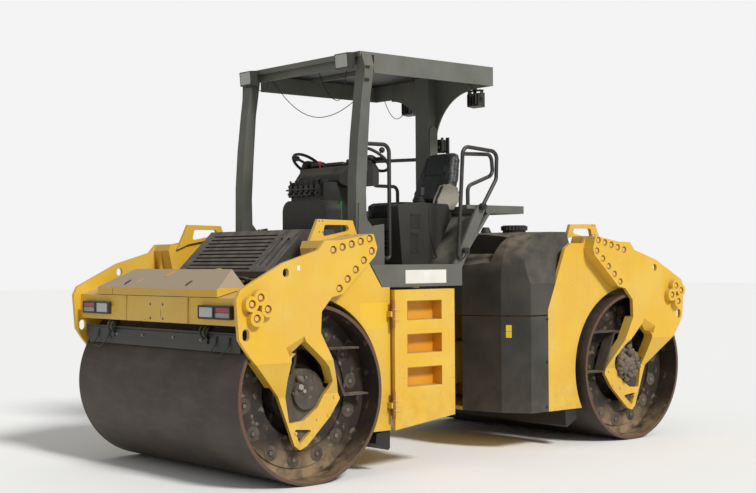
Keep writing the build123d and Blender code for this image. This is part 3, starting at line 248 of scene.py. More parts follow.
def set_camera():
    look = Vector((math.cos(PITCH) * math.cos(YAW), math.cos(PITCH) * math.sin(YAW), math.sin(PITCH)))
    level = Vector((math.sin(YAW), -math.cos(YAW), 0))
    over = level.cross(look)
    right = level * math.cos(ROLL) + over * math.sin(ROLL)
    up = over * math.cos(ROLL) - level * math.sin(ROLL)
    data = bpy.data.cameras.new("camera")
    data.lens = FOCAL_LENGTH
    data.sensor_width = SENSOR
    data.clip_end = 200
    camera = linked("camera", data)
    camera.matrix_world = Matrix.Translation(CAMERA_SPOT) @ Matrix((right, up, -look)).transposed().to_4x4()
    bpy.context.scene.camera = camera


set_camera()


# ---- finishes ----
def begin(name):
    material = bpy.data.materials.new(name)
    material.use_nodes = True
    return material, material.node_tree, material.node_tree.nodes["Principled BSDF"]


def patches(tree, place, size, low, high, detail=3.0, top=1.0):
    """0 to a top where soft patches of a size in metres lie, from a noise between two levels."""
    cloud = add(tree, "ShaderNodeTexNoise", {"Vector": place, "Scale": 1 / size, "Detail": detail,
                                             "Roughness": 0.55})["Fac"]
    return add(tree, "ShaderNodeMapRange", (cloud, low, high, 0.0, top))["Result"]


def layered(tree, colour, layers):
    """Colours laid over a first one, each by the product of its shares."""
    for shares, over in layers:
        share = shares[0]
        for other in shares[1:]:
            share = add(tree, "ShaderNodeMath", (share, other), operation="MULTIPLY")[0]
        colour = add(tree, "ShaderNodeMix", {0: share, 6: colour, 7: linear(over)}, data_type="RGBA")[2]
    return colour


def weathered(name, base, faded, dust, dusting=0.8, streaks=0.25, chips=None, dry=(0.42, 0.85),
              grain=0.004, relief=0.0006, low_dirt=0.0, dirt="#6B5842", under=None):
    """A coat or moulding that has stood outdoors: faded patches, dust that settles on what faces up,
    streaks that run down, chips to what is under it, and a fine grain.  What faces down may be
    darkened towards another colour, as painted shade."""
    material, tree, shader = begin(name)
    place = add(tree, "ShaderNodeTexCoord")["Object"]
    drawn_down = add(tree, "ShaderNodeMapping", {"Vector": place, "Scale": (1.0, 1.0, 0.07)})[0]
    layers = [([patches(tree, place, 0.35, 0.42, 0.62)], faded),
              ([patches(tree, drawn_down, 0.03, 0.55, 0.78), streaks], dirt)]
    if low_dirt:
        height = add(tree, "ShaderNodeSeparateXYZ", (place,))["Z"]
        near_ground = add(tree, "ShaderNodeMapRange", (height, 0.75, 0.25))[0]
        layers.append(([near_ground, patches(tree, place, 0.08, 0.35, 0.65), low_dirt], dirt))
    if chips:
        spots = patches(tree, place, 0.012, 0.69, 0.71, 2.0)
        layers.append(([spots, patches(tree, place, 0.25, 0.5, 0.6)], chips))
    normal = add(tree, "ShaderNodeNewGeometry")["Normal"]
    tilt = add(tree, "ShaderNodeSeparateXYZ", (normal,))["Z"]
    # Painted shade: what faces down is darkened towards the under colour.
    if under:
        layers.append(([add(tree, "ShaderNodeMapRange", (tilt, -0.3, -0.6))[0]], under))
    upward = add(tree, "ShaderNodeMapRange", (tilt, 0.15, 0.85, 0.0, dusting))[0]
    settled = add(tree, "ShaderNodeMath", (upward, patches(tree, place, 0.09, 0.25, 0.6)),
                  operation="MULTIPLY")[0]
    film = patches(tree, place, 0.5, 0.4, 0.75, top=0.25 * min(dusting, 0.7))
    cover = add(tree, "ShaderNodeMath", (settled, film), operation="MAXIMUM")[0]
    layers.append(([cover], dust))
    fine = add(tree, "ShaderNodeTexNoise", {"Vector": place, "Scale": 1 / grain, "Detail": 2.0})["Fac"]
    feed(tree, shader, {
        "Base Color": layered(tree, linear(base), layers),
        "Roughness": add(tree, "ShaderNodeMapRange", (cover, 0.0, 1.0, *dry))[0],
        "Normal": add(tree, "ShaderNodeBump", {"Height": fine, "Distance": relief, "Strength": 0.6})[0]})
    return material


# Two-part polyurethane enamel, sprayed over primer: even colour, soft gloss under dust, slight
# orange peel drawn at 6 mm.
enamel = weathered("yellow_polyurethane_enamel", "#D2A52B", "#D3AC3E", "#B5A184", 0.7, 0.06,
                   chips="#5B4630", dry=(0.38, 0.85), grain=0.006, relief=0.0002, low_dirt=0.25)
# The same enamel on the lids, which dust covers nearly all over.
enamel_dusty = weathered("yellow_enamel_under_dust", "#CFA12B", "#C9A544", "#A09079", 6.0, 0.06,
                         dry=(0.5, 0.9), grain=0.006, relief=0.0002)
# The same enamel inside pockets and behind plates, where little dust reaches, deepened to amber as painted
# shade.
enamel_in_shade = weathered("yellow_enamel_painted_shade", "#D08A12", "#D19420", "#B5A184", 0.4, 0.05, grain=0.006,
                        relief=0.0002)
# Satin polyurethane on folded steel: grey-olive, chalked and chipped along the posts.
satin_grey = weathered("grey_satin_enamel", "#51524C", "#5A5B54", "#8F8877", 0.6, 0.15, chips="#2B2A27",
                       dry=(0.5, 0.9), grain=0.005, relief=0.0002)
# The same on the roof, whose underside, what faces down, is darkened near black as painted shade.
roof_grey = weathered("grey_satin_enamel_shaded_below", "#5A5B54", "#63645C", "#8F8877", 0.6, 0.15, chips="#2B2A27",
                      dry=(0.5, 0.9), grain=0.005, relief=0.0002, under="#161614")
# Black powder coat: fine texture, dulled by dust.
powder_black = weathered("black_powder_coat", "#1E1E1C", "#262522", "#6E6454", 0.6, 0.15,
                         chips="#5A4636", dry=(0.45, 0.85), grain=0.002, relief=0.0003)
# Rotationally moulded polyethylene: waxy, pebbled skin that holds grey-brown dust.
polyethylene = weathered("rotomoulded_polyethylene", "#282824", "#33322D", "#7D725F", 0.75, 0.2,
                         dry=(0.55, 0.92), grain=0.003, relief=0.0005, low_dirt=0.4, dirt="#55493A")
# Sheet-moulded polyester for the hood: smoother, brown-grey with tan dust.
hood_shell = weathered("sheet_moulded_polyester", "#35332F", "#3F3C37", "#7A7265", 0.7, 0.15,
                       dry=(0.5, 0.9), grain=0.003, relief=0.0003)
# ABS console mouldings with a leather grain of about 2 mm.
abs_grain = weathered("grained_abs", "#232321", "#2B2A27", "#5E574A", 0.55, 0.1, dry=(0.5, 0.85),
                      grain=0.002, relief=0.0005)
# Cast iron of the engine's block, painted black: coarse from the sand mould.
cast_iron = weathered("painted_cast_iron", "#1B1A18", "#24221F", "#5A4E3E", 0.6, 0.3, dry=(0.6, 0.95),
                      grain=0.004, relief=0.0012)
# Hydraulic parts and brackets inside the drums, under a coat of dried mud.
muddy_steel = weathered("muddy_steel", "#2F2B26", "#423A31", "#857560", 0.8, 0.4, dry=(0.75, 0.97),
                        grain=0.008, relief=0.003, low_dirt=0.3, dirt="#7E6D57")
# Mud of the site, dried on in lumps.
dried_mud = weathered("dried_mud", "#5C5347", "#6E6353", "#857866", 0.6, 0.3, dry=(0.9, 0.98),
                      grain=0.01, relief=0.004)
# Zinc-plated fasteners gone dull.
zinc = weathered("zinc_plated_steel", "#8A867C", "#777268", "#A59A86", 0.5, 0.2, dry=(0.4, 0.8),
                 grain=0.002, relief=0.0002)
# Enamelled bolt heads, dusty in their pockets.
bolt_enamel = weathered("yellow_enamelled_bolts", "#D6A54E", "#C9A266", "#B59F78", 0.6, 0.15,
                        dry=(0.5, 0.85), grain=0.003, relief=0.0003)
# Painted shade: dark rings at the bottom of the bolts' pockets.
bolt_ring_shade = weathered("painted_pocket_shade", "#4A3818", "#5A451F", "#8D7B64", 0.3, 0.1, dry=(0.6, 0.9), grain=0.003,
                        relief=0.0006)
# Mild steel strip without paint, rusted orange-brown.
rusted = weathered("rusted_mild_steel", "#8A5A30", "#6E4424", "#9C7B55", 0.3, 0.5, dry=(0.8, 0.95),
                   grain=0.002, relief=0.0006)
# White lacquered aluminium sheet of the blank plates.
white_plate = weathered("white_lacquered_plate", "#D9D7D0", "#CFCCC3", "#B5AC9A", 0.4, 0.12,
                        dry=(0.3, 0.7), grain=0.004, relief=0.0001)
# Yellow vinyl of the small blank label.
yellow_vinyl = weathered("yellow_vinyl_label", "#E3C21C", "#D9B820", "#A8977A", 0.3, 0.1, dry=(0.3, 0.6),
                         grain=0.004, relief=0.0001)
# A later, thicker coat of the same enamel, brushed on.
enamel_fresh = weathered("brushed_fresh_enamel", "#D9AE24", "#D8AF30", "#B5A184", 0.3, 0.05, grain=0.004,
                         relief=0.0004)
# Glass-filled nylon of the lever, red, and PVC of the cable duct, green.
red_knob = weathered("red_nylon", "#A8262B", "#9A3034", "#6E6454", 0.3, 0.05, grain=0.002, relief=0.0001)
green_duct = weathered("green_pvc", "#2F7A3A", "#3A7440", "#6E6454", 0.4, 0.1, grain=0.003, relief=0.0001)
# Unpainted ABS of the armrest's bracket: pale stone.
pale_abs = weathered("stone_abs", "#8F8A7C", "#999383", "#B5AC9A", 0.5, 0.2, grain=0.003, relief=0.0003)
# Nitrile rubber of seals, buffers and wire jackets.
rubber = weathered("nitrile_rubber", "#171716", "#201F1D", "#5C5345", 0.4, 0.05, dry=(0.6, 0.9),
                   grain=0.003, relief=0.0003)


def rolled_steel(name, axle_x):
    """Rolled steel plate of a drum: dark brown-grey from ground contact, scored round the drum by
    gravel, blotched, with a bright rusty edge, and inside the rim painted shade that darkens it and dust
    lying on it."""
    material, tree, shader = begin(name)
    place = add(tree, "ShaderNodeTexCoord")["Object"]
    own = add(tree, "ShaderNodeMapping", {"Vector": place, "Location": (-axle_x, 0, -DRUM_R)})[0]
    drawn = add(tree, "ShaderNodeMapping", {"Vector": own, "Scale": (1.0, 0.25, 1.0)})[0]
    parts = add(tree, "ShaderNodeSeparateXYZ", (own,))
    score = add(tree, "ShaderNodeTexNoise", {"W": parts["Y"], "Scale": 140.0, "Detail": 3.0},
                noise_dimensions="1D")["Fac"]
    line = add(tree, "ShaderNodeMapRange", (score, 0.6, 0.75))[0]
    width = add(tree, "ShaderNodeMath", (parts["Y"],), operation="ABSOLUTE")[0]
    edge = add(tree, "ShaderNodeMapRange", (width, DRUM_HALF - 0.012, DRUM_HALF - 0.001))[0]
    flat = add(tree, "ShaderNodeVectorMath", (own, (1, 0, 1)), operation="MULTIPLY")[0]
    reach = add(tree, "ShaderNodeVectorMath", (flat,), operation="LENGTH")["Value"]
    inside = add(tree, "ShaderNodeMapRange", (reach, 0.590, 0.584))[0]
    low = add(tree, "ShaderNodeMapRange", (parts["Z"], -0.30, -0.52))[0]
    colour = layered(tree, linear("#423B35"), [
        ([patches(tree, own, 0.3, 0.4, 0.62, 5.0)], "#4E453C"),
        ([patches(tree, drawn, 0.05, 0.5, 0.8, 6.0), 0.35], "#6B5C4C"),
        ([line, 0.25], "#2C2825"),
        ([edge, patches(tree, own, 0.02, 0.2, 0.5), 0.7], "#6B4C3A"),
        # Painted shade: all inside the rim darkened nearly black; the mud and dust after it are the drum's
        # own.
        ([inside, 0.85], "#25231F"),
        ([inside, patches(tree, own, 0.18, 0.45, 0.65), 0.4], "#5A3F2C"),
        ([inside, patches(tree, own, 0.07, 0.58, 0.66, 5.0), 0.7], "#857560"),
        ([inside, low, patches(tree, own, 0.12, 0.3, 0.6)], "#9C8566")])
    fine = add(tree, "ShaderNodeTexNoise", {"Vector": own, "Scale": 1 / 0.006, "Detail": 4.0})["Fac"]
    height = add(tree, "ShaderNodeMath", (line, -0.5, fine), operation="MULTIPLY_ADD")[0]
    feed(tree, shader, {
        "Base Color": colour, "Metallic": 0.35,
        "Roughness": add(tree, "ShaderNodeMapRange", (fine, 0.0, 1.0, 0.48, 0.72))[0],
        "Normal": add(tree, "ShaderNodeBump", {"Height": height, "Distance": 0.001, "Strength": 0.6})[0]})
    return material


def vinyl():
    """Expanded vinyl seat cover: black, a leather grain drawn at 5 mm, worn paler in patches."""
    material, tree, shader = begin("black_expanded_vinyl")
    place = add(tree, "ShaderNodeTexCoord")["Object"]
    cells = add(tree, "ShaderNodeTexVoronoi", {"Vector": place, "Scale": 1 / 0.005})["Distance"]
    worn = patches(tree, place, 0.12, 0.5, 0.72)
    feed(tree, shader, {
        "Base Color": layered(tree, linear("#17191A"), [([worn], "#3A3A38")]),
        "Normal": add(tree, "ShaderNodeBump", {"Height": cells, "Distance": 0.0006, "Strength": 0.5})[0],
        "Roughness": 0.5})
    return material


def lens(name, colour, rough, transmission):
    """Moulded polycarbonate with upright ribs 6 mm apart inside."""
    material, tree, shader = begin(name)
    place = add(tree, "ShaderNodeTexCoord")["Object"]
    ribs = add(tree, "ShaderNodeTexWave", {"Vector": place, "Scale": 1 / 0.006 / 6.283, "Distortion": 0.0},
               bands_direction="Y")["Fac"]
    bump = add(tree, "ShaderNodeBump", {"Height": ribs, "Distance": 0.001, "Strength": 0.7})[0]
    feed(tree, shader, {"Base Color": linear(colour), "Roughness": rough, "IOR": 1.58, "Normal": bump,
                        "Transmission Weight": transmission})
    return material


clear_lens = lens("clear_polycarbonate", "#C9CCC8", 0.12, 0.35)
red_lens = lens("red_polycarbonate", "#8E1C22", 0.15, 0.15)
smoked_lens = lens("grey_polycarbonate", "#8F918C", 0.18, 0.25)
seat_vinyl = vinyl()
steel_of = {end: rolled_steel(end + "_drum_rolled_steel", x) for end, x in AXLES.items()}

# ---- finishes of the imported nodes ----
NODE_FINISH = {
    "engine_block": cast_iron, "louvre_hood": hood_shell, "roof": roof_grey, "console": abs_grain,
    "seat_console": abs_grain, "platform": satin_grey, "front_posts": satin_grey, "rear_post": satin_grey,
    "steering_wheels": rubber, "breather_dome": rubber, "tank_cap": rubber, "water_tank": polyethylene,
    "side_panels": polyethylene, "handrails": powder_black, "articulation_link": powder_black,
}
for end in AXLES:
    for part, finish in (("drum", steel_of[end]), ("cover", enamel_dusty), ("scraper", powder_black),
                         ("lamps", powder_black), ("work_lights", powder_black),
                         ("hub_left", muddy_steel), ("hub_right", muddy_steel)):
        NODE_FINISH[f"{end}_{part}"] = finish
for name, node in frame["nodes"].items():
    finish = NODE_FINISH.get(name, enamel)
    node.data.materials.clear()
    node.data.materials.append(finish)

# ---- wires under the roof ----
WIRE_DIAMETER = 0.006
# Routes in millimetres: behind the roof's front edge, y, below the roof's top.
WIRES = {
    "roof_wire_long": (
        (60, -450, 87), (59, -394, 144), (58, -338, 195), (57, -282, 242), (56, -227, 284),
        (55, -171, 321), (54, -115, 352), (53, -59, 380), (52, -3, 402), (51, 52, 419), (51, 108, 431),
        (50, 164, 439), (49, 220, 441), (48, 276, 439), (47, 333, 433), (46, 389, 423), (45, 446, 409),
        (44, 502, 391), (43, 558, 370), (42, 615, 344), (41, 671, 314)),
    "roof_wire_loop": (
        (60, -671, 116), (60, -645, 139), (60, -620, 155), (60, -594, 165), (60, -568, 168),
        (60, -545, 159), (60, -523, 132), (60, -500, 87)),
    "roof_wire_centre": (
        (375, -250, 17), (375, -219, 76), (375, -188, 128), (375, -156, 171), (375, -125, 207),
        (375, -94, 234), (375, -62, 254), (375, -31, 266), (375, 0, 270), (375, 18, 263),
        (375, 37, 242), (375, 55, 207), (375, 73, 158), (375, 92, 94), (375, 110, 17)),
    "lamp_wire": (
        (1376, -600, 147), (1390, -584, 204), (1405, -568, 249), (1419, -552, 281), (1433, -536, 300),
        (1448, -520, 306), (1463, -502, 299), (1479, -485, 279), (1495, -467, 246)),
}


def wire(name, route):
    """A jacketed wire along its route, each end in the roof, a post or a lamp."""
    points = [Vector((ROOF_HIGH.x - b / 1000, y / 1000, ROOF_HIGH.z - d / 1000)) for b, y, d in route]
    data = bpy.data.curves.new(name, "CURVE")
    data.dimensions = "3D"
    data.bevel_depth = WIRE_DIAMETER / 2
    data.bevel_resolution = 3
    data.use_fill_caps = True
    spline = data.splines.new("NURBS")
    spline.points.add(len(points) - 1)
    for control, point in zip(spline.points, points):
        control.co = (*point, 1)
    spline.order_u = 3
    spline.use_endpoint_u = True
    spline.resolution_u = 8
    obj = linked(name + "_jacket", data)
    data.materials.append(rubber)
    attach(obj, "front_module")
    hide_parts(name)


for name, route in WIRES.items():
    wire(name, route)


# ---- geometry that repeats ----
SIXTH_TURN = 1.05
MEASURES = ("Head radius", "Head height", "Washer radius", "Washer height")
LARGE = dict(zip(MEASURES, (0.018, 0.012, 0.022, 0.003)))
SMALL = dict(zip(MEASURES, (0.009, 0.006, 0.012, 0.002)))
SHADE_DISC = dict(zip(MEASURES, (0.020, 0.0005, 0.027, 0.001)))
LOBE = dict(zip(MEASURES, (0.030, 0.001, 0.052, 0.003)))
LOW_BOLT = dict(zip(MEASURES, (0.017, 0.004, 0.022, 0.001)))


def bolt_tree(material):
    """Hexagon bolts on washers, one at each point, each turned to its point's facing."""
    tree = bpy.data.node_groups.new("hexagon_bolts", "GeometryNodeTree")
    socket = tree.interface.new_socket
    socket("Geometry", in_out="INPUT", socket_type="NodeSocketGeometry")
    for name in MEASURES:
        socket(name, in_out="INPUT", socket_type="NodeSocketFloat")
    socket("Geometry", in_out="OUTPUT", socket_type="NodeSocketGeometry")
    given = add(tree, "NodeGroupInput")
    parts = []
    for part, sides, base in (("Head", 6, given["Washer height"]), ("Washer", 16, 0.0)):
        height = given[part + " height"]
        disc = add(tree, "GeometryNodeMeshCylinder", {"Vertices": sides, "Radius": given[part + " radius"],
                                                      "Depth": height})["Mesh"]
        rise = add(tree, "ShaderNodeMath", (height, 0.5, base), operation="MULTIPLY_ADD")[0]
        lift = add(tree, "ShaderNodeCombineXYZ", {"Z": rise})[0]
        parts.append(add(tree, "GeometryNodeTransform", {"Geometry": disc, "Translation": lift})[0])
    bolt = add(tree, "GeometryNodeJoinGeometry", {0: parts})[0]
    out = add(tree, "GeometryNodeInputNamedAttribute", {"Name": "facing"}, data_type="FLOAT_VECTOR")[0]
    spin = add(tree, "FunctionNodeRandomValue", {2: 0.0, 3: SIXTH_TURN, "Seed": 5}, data_type="FLOAT")[1]
    spin = add(tree, "FunctionNodeAxisAngleToRotation", {"Axis": (0, 0, 1), "Angle": spin})[0]
    spin = add(tree, "FunctionNodeAlignRotationToVector", {"Rotation": spin, "Vector": out}, axis="Z")[0]
    placed = add(tree, "GeometryNodeInstanceOnPoints", {"Points": given["Geometry"], "Instance": bolt,
                                                        "Rotation": spin})[0]
    real = add(tree, "GeometryNodeRealizeInstances", {"Geometry": placed})[0]
    done = add(tree, "GeometryNodeSetMaterial", {"Geometry": real, "Material": material})[0]
    add(tree, "NodeGroupOutput", {"Geometry": done})
    return tree


def grow(name, material, seats, sizes, body="front_module"):
    """The plain mesh of bolts on their seats, each a point and the way out of the surface."""
    seed = bpy.data.meshes.new(name + "_points")
    seed.from_pydata([tuple(point) for point, out in seats], [], [])
    way = seed.attributes.new("facing", "FLOAT_VECTOR", "POINT")
    for i, (point, out) in enumerate(seats):
        way.data[i].vector = out
    holder = linked(name + "_points", seed)
    modifier = holder.modifiers.new("grow", "NODES")
    modifier.node_group = bolt_tree(material)
    for item in modifier.node_group.interface.items_tree:
        if item.in_out == "INPUT" and item.name in sizes:
            modifier[item.identifier] = sizes[item.name]
    mesh = baked(holder)
    bpy.data.objects.remove(holder)
    mesh.shade_flat()
    mesh.name = name
    obj = linked(name, mesh)
    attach(obj, body)


POCKET_DEPTH = 0.022
FOLD_SET = 0.108
# Fork bolts as (ahead of the axle, up from it)
TOP_ROW = [(-0.155 - 0.081 * i, 0.976 + 0.0195 * i) for i in range(5)]
DIAGONAL_ROW = [(-0.206 - 0.073 * i, 0.712 + 0.064 * i) for i in range(5)]
FRONT_GROUP = [(0.484, 0.667), (0.553, 0.626), (0.428, 0.590), (0.515, 0.532)]
TIP_BOLTS = [(0.095, -0.26), (-0.088, -0.18), (-0.184, -0.157), (-0.236, -0.036)]


def fork_bolts():
    """Bolts in the forks' pockets, each with a dark ring of painted shade round it, and smaller ones round
    the tips.
    """
    for end, x, run, body in ends():
        large, small = [], []
        for way in SIDES.values():
            for spots, depth, seats in ((TOP_ROW + DIAGONAL_ROW, FORK_OUT - POCKET_DEPTH, large),
                                        (FRONT_GROUP, BOSS_OUT - POCKET_DEPTH, large),
                                        (TIP_BOLTS, FORK_OUT - FOLD_SET, small)):
                for far, up in spots:
                    seats.append(((x + run * far, way * depth, AXLE.z + up), (0, way, 0)))
        # Painted shade: a dark disc under each bolt at the bottom of its pocket.
        grow(end + "_bolt_ring_shade", bolt_ring_shade, large, SHADE_DISC, body)
        grow(end + "_fork_bolts", bolt_enamel, large, LARGE, body)
        grow(end + "_tip_bolts", bolt_enamel, small, SMALL, body)


WEB_DEPTH, WEB_RING = 0.175, 0.012
RING_BOLTS = 14
RING_RADIUS = 0.455
RING_FACE = DRUM_HALF - WEB_DEPTH + WEB_RING


def ring_bolts():
    """Round lobes of the rubber buffers on each web, flat enough to pass the hub's arms."""
    for end, x in AXLES.items():
        lobes, heads = [], []
        for way in SIDES.values():
            for i in range(RING_BOLTS):
                turn = 2 * math.pi * (i - 0.27) / RING_BOLTS
                far, up = x + RING_RADIUS * math.cos(turn), AXLE.z + RING_RADIUS * math.sin(turn)
                for seats, stand in ((lobes, 0.0), (heads, LOBE["Washer height"])):
                    seats.append(((far, way * (RING_FACE + stand), up), (0, way, 0)))
        grow(end + "_ring_lobes", muddy_steel, lobes, LOBE, end + "_roll")
        grow(end + "_ring_bolts", dried_mud, heads, LOW_BOLT, end + "_roll")


fork_bolts()
ring_bolts()


# ---- lamps ----
HEAD_BAY, TAIL_BAY = (0.617, 0.778), (0.812, 0.976)
PANE_LOW, PANE_HIGH = DRUM_R + 0.532, DRUM_R + 0.600


def road_lamps():
    """Slightly domed panes in each housing: a head lamp, a tail lamp over a turn lamp."""
    middle = (PANE_LOW + PANE_HIGH) / 2
    for end, x, run, body, side, way in corners():
        for use, (y0, y1), z0, z1, material in (
                ("headlamp", HEAD_BAY, PANE_LOW, PANE_HIGH, clear_lens),
                ("tail_lamp", TAIL_BAY, middle + 0.001, PANE_HIGH, red_lens),
                ("turn_lamp", TAIL_BAY, PANE_LOW, middle - 0.001, smoked_lens)):
            spot = (x + run * (BEAM_OUT + 0.024), way * (y0 + y1) / 2, (z0 + z1) / 2)
            prism(rounded(y1 - y0, z1 - z0, 0.006), 0.0, 0.006, facing(spot, (run, 0, 0)))
            made(f"{end}_{use}_{side}", material, body, bevel=0.002)


def work_lenses():
    """Panes of the work lamps: place on the left, the way each faces, size and thickness."""
    ahead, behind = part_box("front_work_lights")[1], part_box("rear_work_lights")[0]
    for end, (x, y, z), out, size, thick in (
            ("front", (ahead.x - 0.006, 0.61, ROOF_HIGH.z - 0.071), (1, 0, -0.08), (0.132, 0.094, 0.008),
             0.004),
            ("rear", (behind.x, 0.405, behind.z + 0.060), (-1, 0, 0), (0.11, 0.10, 0.01), 0.003)):
        for side, way in SIDES.items():
            prism(rounded(*size), 0.0, thick, facing((x, way * y, z), out))
            made(f"{end}_work_lens_{side}", clear_lens, bevel=0.001)


road_lamps()
work_lenses()


# ---- plates, labels and patches ----
def plates():
    """Blank plates and labels, and a squarer, fresher coat of enamel on the left frame plate."""
    brick((0.395, SIDE_HALF, 1.343), (0.799, SIDE_HALF + 0.0015, 1.441))
    made("sill_plate", white_plate)
    brick((-0.012, -0.016, 0.0), (0.012, 0.016, 0.001), facing((1.845, FORK_OUT, 1.465), (0, 1, 0)))
    made("fork_plate", white_plate)
    for z in (0.969, 0.918):
        place = facing((-0.4235, 0.8515, z), (0.2, 0.13, 0))
        brick((-0.023, -0.0245, 0.0), (0.023, 0.0245, 0.0008), place)
    made("tank_label", yellow_vinyl, "rear_module")
    outline = [(0.963, 1.03), (1.185, 1.03), (1.228, 1.085), (1.228, 1.212), (0.963, 1.212)]
    prism([(-x, z) for x, z in outline], 0.0, 0.0004, facing((0, SIDE_HALF, 0), (0, 1, 0)))
    made("fresh_enamel", enamel_fresh)


# ---- steelwork ----
def door_hinges():
    """Rusty barrels, three at each hinge of the step doors."""
    for side in SIDES:
        spot = JOINT[side + "_door_swing"]
        for z in (0.48, 1.13):
            for part in (-0.066, 0.0, 0.066):
                tube([(spot.x, spot.y, z + part - 0.031), (spot.x, spot.y, z + part + 0.031)], 0.013, 14)
        made(f"door_hinges_{side}", rusted, bevel=0.001)


def pocket_shade_plates():
    """Painted shade: deeper amber enamel on the back, the ceiling and the sides of every foot pocket in the
    step doors.
    """
    for side, way in SIDES.items():
        for low in (1.08, 0.84, 0.60):
            high = low + 0.14
            brick((0.482, way * 0.9412, low + 0.002), (0.818, way * 0.9422, high - 0.002))
            brick((0.482, way * 0.943, high - 0.0025), (0.818, way * 1.042, high - 0.0015))
            for x in (0.4815, 0.8175):
                brick((x, way * 0.943, low + 0.002), (x + 0.001, way * 1.042, high - 0.003))
        made(f"pocket_shade_plates_{side}", enamel_in_shade, side + "_door")


# Wire handle of a scraper: out from its face, y, z
HANDLE = [(0.012, 0.750, 1.015), (0.012, 0.745, 0.975), (0.016, 0.728, 0.945), (0.022, 0.690, 0.902),
          (0.024, 0.712, 0.890), (0.024, 0.790, 0.884), (0.024, 0.815, 0.890), (0.018, 0.890, 0.945),
          (0.012, 0.901, 0.975), (0.012, 0.903, 1.015)]


def scraper_dressing():
    """Stiffening plates, curved arms, hanging wire handles and bolts of each scraper."""
    for end, x, run, body in ends():
        face = x + run * SCRAPER_OUT
        for y0, y1, z0, z1, deep in ((-0.60, 0.60, 0.962, 1.022, 0.008), (0.66, 1.03, 0.95, 1.028, 0.006),
                                     (-1.03, -0.66, 0.95, 1.028, 0.006), (-1.03, 1.03, 1.034, 1.042, 0.014)):
            brick((face, y0, z0), (face + run * deep, y1, z1))
        for y in (-0.62, 0.62):
            bend = [(0.004, 0.985), (0.035, 1.02), (0.034, 1.062), (-0.008, 1.092)]
            bend = smooth_line([(face + run * px, y, pz) for px, pz in bend])
            for shift in (-0.024, 0.024):
                tube([(px, py + shift, pz) for px, py, pz in bend], 0.009, 8)
        made(f"{end}_scraper_plates", powder_black, body, bevel=0.001)
        for shift in (0.0, -1.585):
            loop = [(face + run * px, py + shift, pz) for px, py, pz in HANDLE]
            tube(smooth_line(loop, 4), 0.0045, 8)
        made(f"{end}_scraper_handles", powder_black, body)
        seats = [((face + run * 0.008, y, z), (run, 0, 0))
                 for y, z in ((-0.2, 0.988), (0.21, 0.988), (-0.56, 0.985), (0.56, 0.985))]
        grow(f"{end}_scraper_bolts", zinc, seats, SMALL, body)


def inner_scrapers():
    """A rubber mat between each drum and the middle of the machine."""
    for end, x, run, body in ends():
        place = Matrix(((run, 0, 0, x), (0, 1, 0, 0), (0, 0, 1, AXLE.z), (0, 0, 0, 1)))
        prism([(-0.760, -0.30), (-0.760, -0.44), (-0.745, -0.455), (-0.625, -0.40), (-0.635, -0.33)],
              -0.98, 0.98, place @ facing((0, 0, 0), (0, -1, 0)))
        made(f"{end}_inner_scraper", rubber, body, bevel=0.002)


def beam_dressing():
    """Plugged holes, seams, ribs and the lamps' straps on each beam's face."""
    for end, x, run, body in ends():
        face = x + run * BEAM_OUT
        for y in (-0.055, 0.112):
            for z in (1.115, 1.215):
                tube([(face - run * 0.002, y, z), (face + run * 0.0008, y, z)], 0.009, 16)
        for y, z0, z1, wide in ((-0.383, 1.092, 1.285, 0.003), (0.432, 1.092, 1.28, 0.004),
                                (0.447, 1.092, 1.28, 0.002), (0.085, 1.125, 1.175, 0.002)):
            brick((face, y - wide, z0), (face + run * 0.0006, y + wide, z1))
        lip = x + run * 0.592
        brick((lip, -0.579, 1.275), (lip + run * 0.0006, -0.575, 1.322))
        made(f"{end}_beam_seams", rubber, body)
        for y in (-0.39, -0.375, 0.44, 0.46):
            brick((face, y - 0.004, 1.094), (face + run * 0.003, y + 0.004, 1.28))
        for way in SIDES.values():
            brick((face, way * 0.575, 1.14), (face + run * 0.006, way * 0.60, 1.19))
        made(f"{end}_beam_ribs", enamel, body, bevel=0.001)


def cover_dressing():
    """Two catches and the grip recess on each lid's slope; the recess is a flat patch whose deeper amber is
    painted shade.
    """
    for end, x, run, body in ends():
        out = Vector((run * 0.128, 0, 0.224)).normalized()
        for y in (-0.462, 0.364):
            place = facing((x + run * 0.53, y, 1.3632), out, (-run, 0, 1))
            brick((-0.007, -0.032, 0.0), (0.007, 0.032, 0.003), place)
            tube([place @ Vector((0, w, 0.006)) for w in (-0.02, 0.026)], 0.005, 8)
        made(f"{end}_lid_catches", powder_black, end + "_lid")
        # The grip recess: a flat patch of deeper enamel, whose colour is painted shade.
        place = facing((x + run * 0.416, -0.055, 1.4283), out, (-run, 0, 1))
        brick((-0.022, -0.045, 0.0), (0.022, 0.045, 0.0015), place)
        made(f"{end}_lid_grip", enamel_in_shade, end + "_lid")


def lug_holes():
    """Four small plugged holes in the outside of each lifting lug."""
    for end, x, run, body, side, way in corners():
        for far in (1.439, 1.469):
            for z in (1.714, 1.790):
                tube([(run * far, way * 0.848, z), (run * far, way * 0.8506, z)], 0.005, 12)
        made(f"{end}_lug_holes_{side}", rubber, body)


# ---- inside the drums ----
def clod(spot, size):
    """One lump of dried mud: a ball pushed in and out by noise."""
    lump = bmesh.ops.create_icosphere(BUILT, subdivisions=2, radius=1.0)["verts"]
    shift = Vector((random.random(), random.random(), random.random())) * 9
    for vertex in lump:
        swell = 1 + 0.55 * noise.noise(vertex.co * 1.4 + shift) + 0.35 * noise.noise(vertex.co * 3.5 + shift)
        vertex.co = Vector(spot) + vertex.co * size * swell


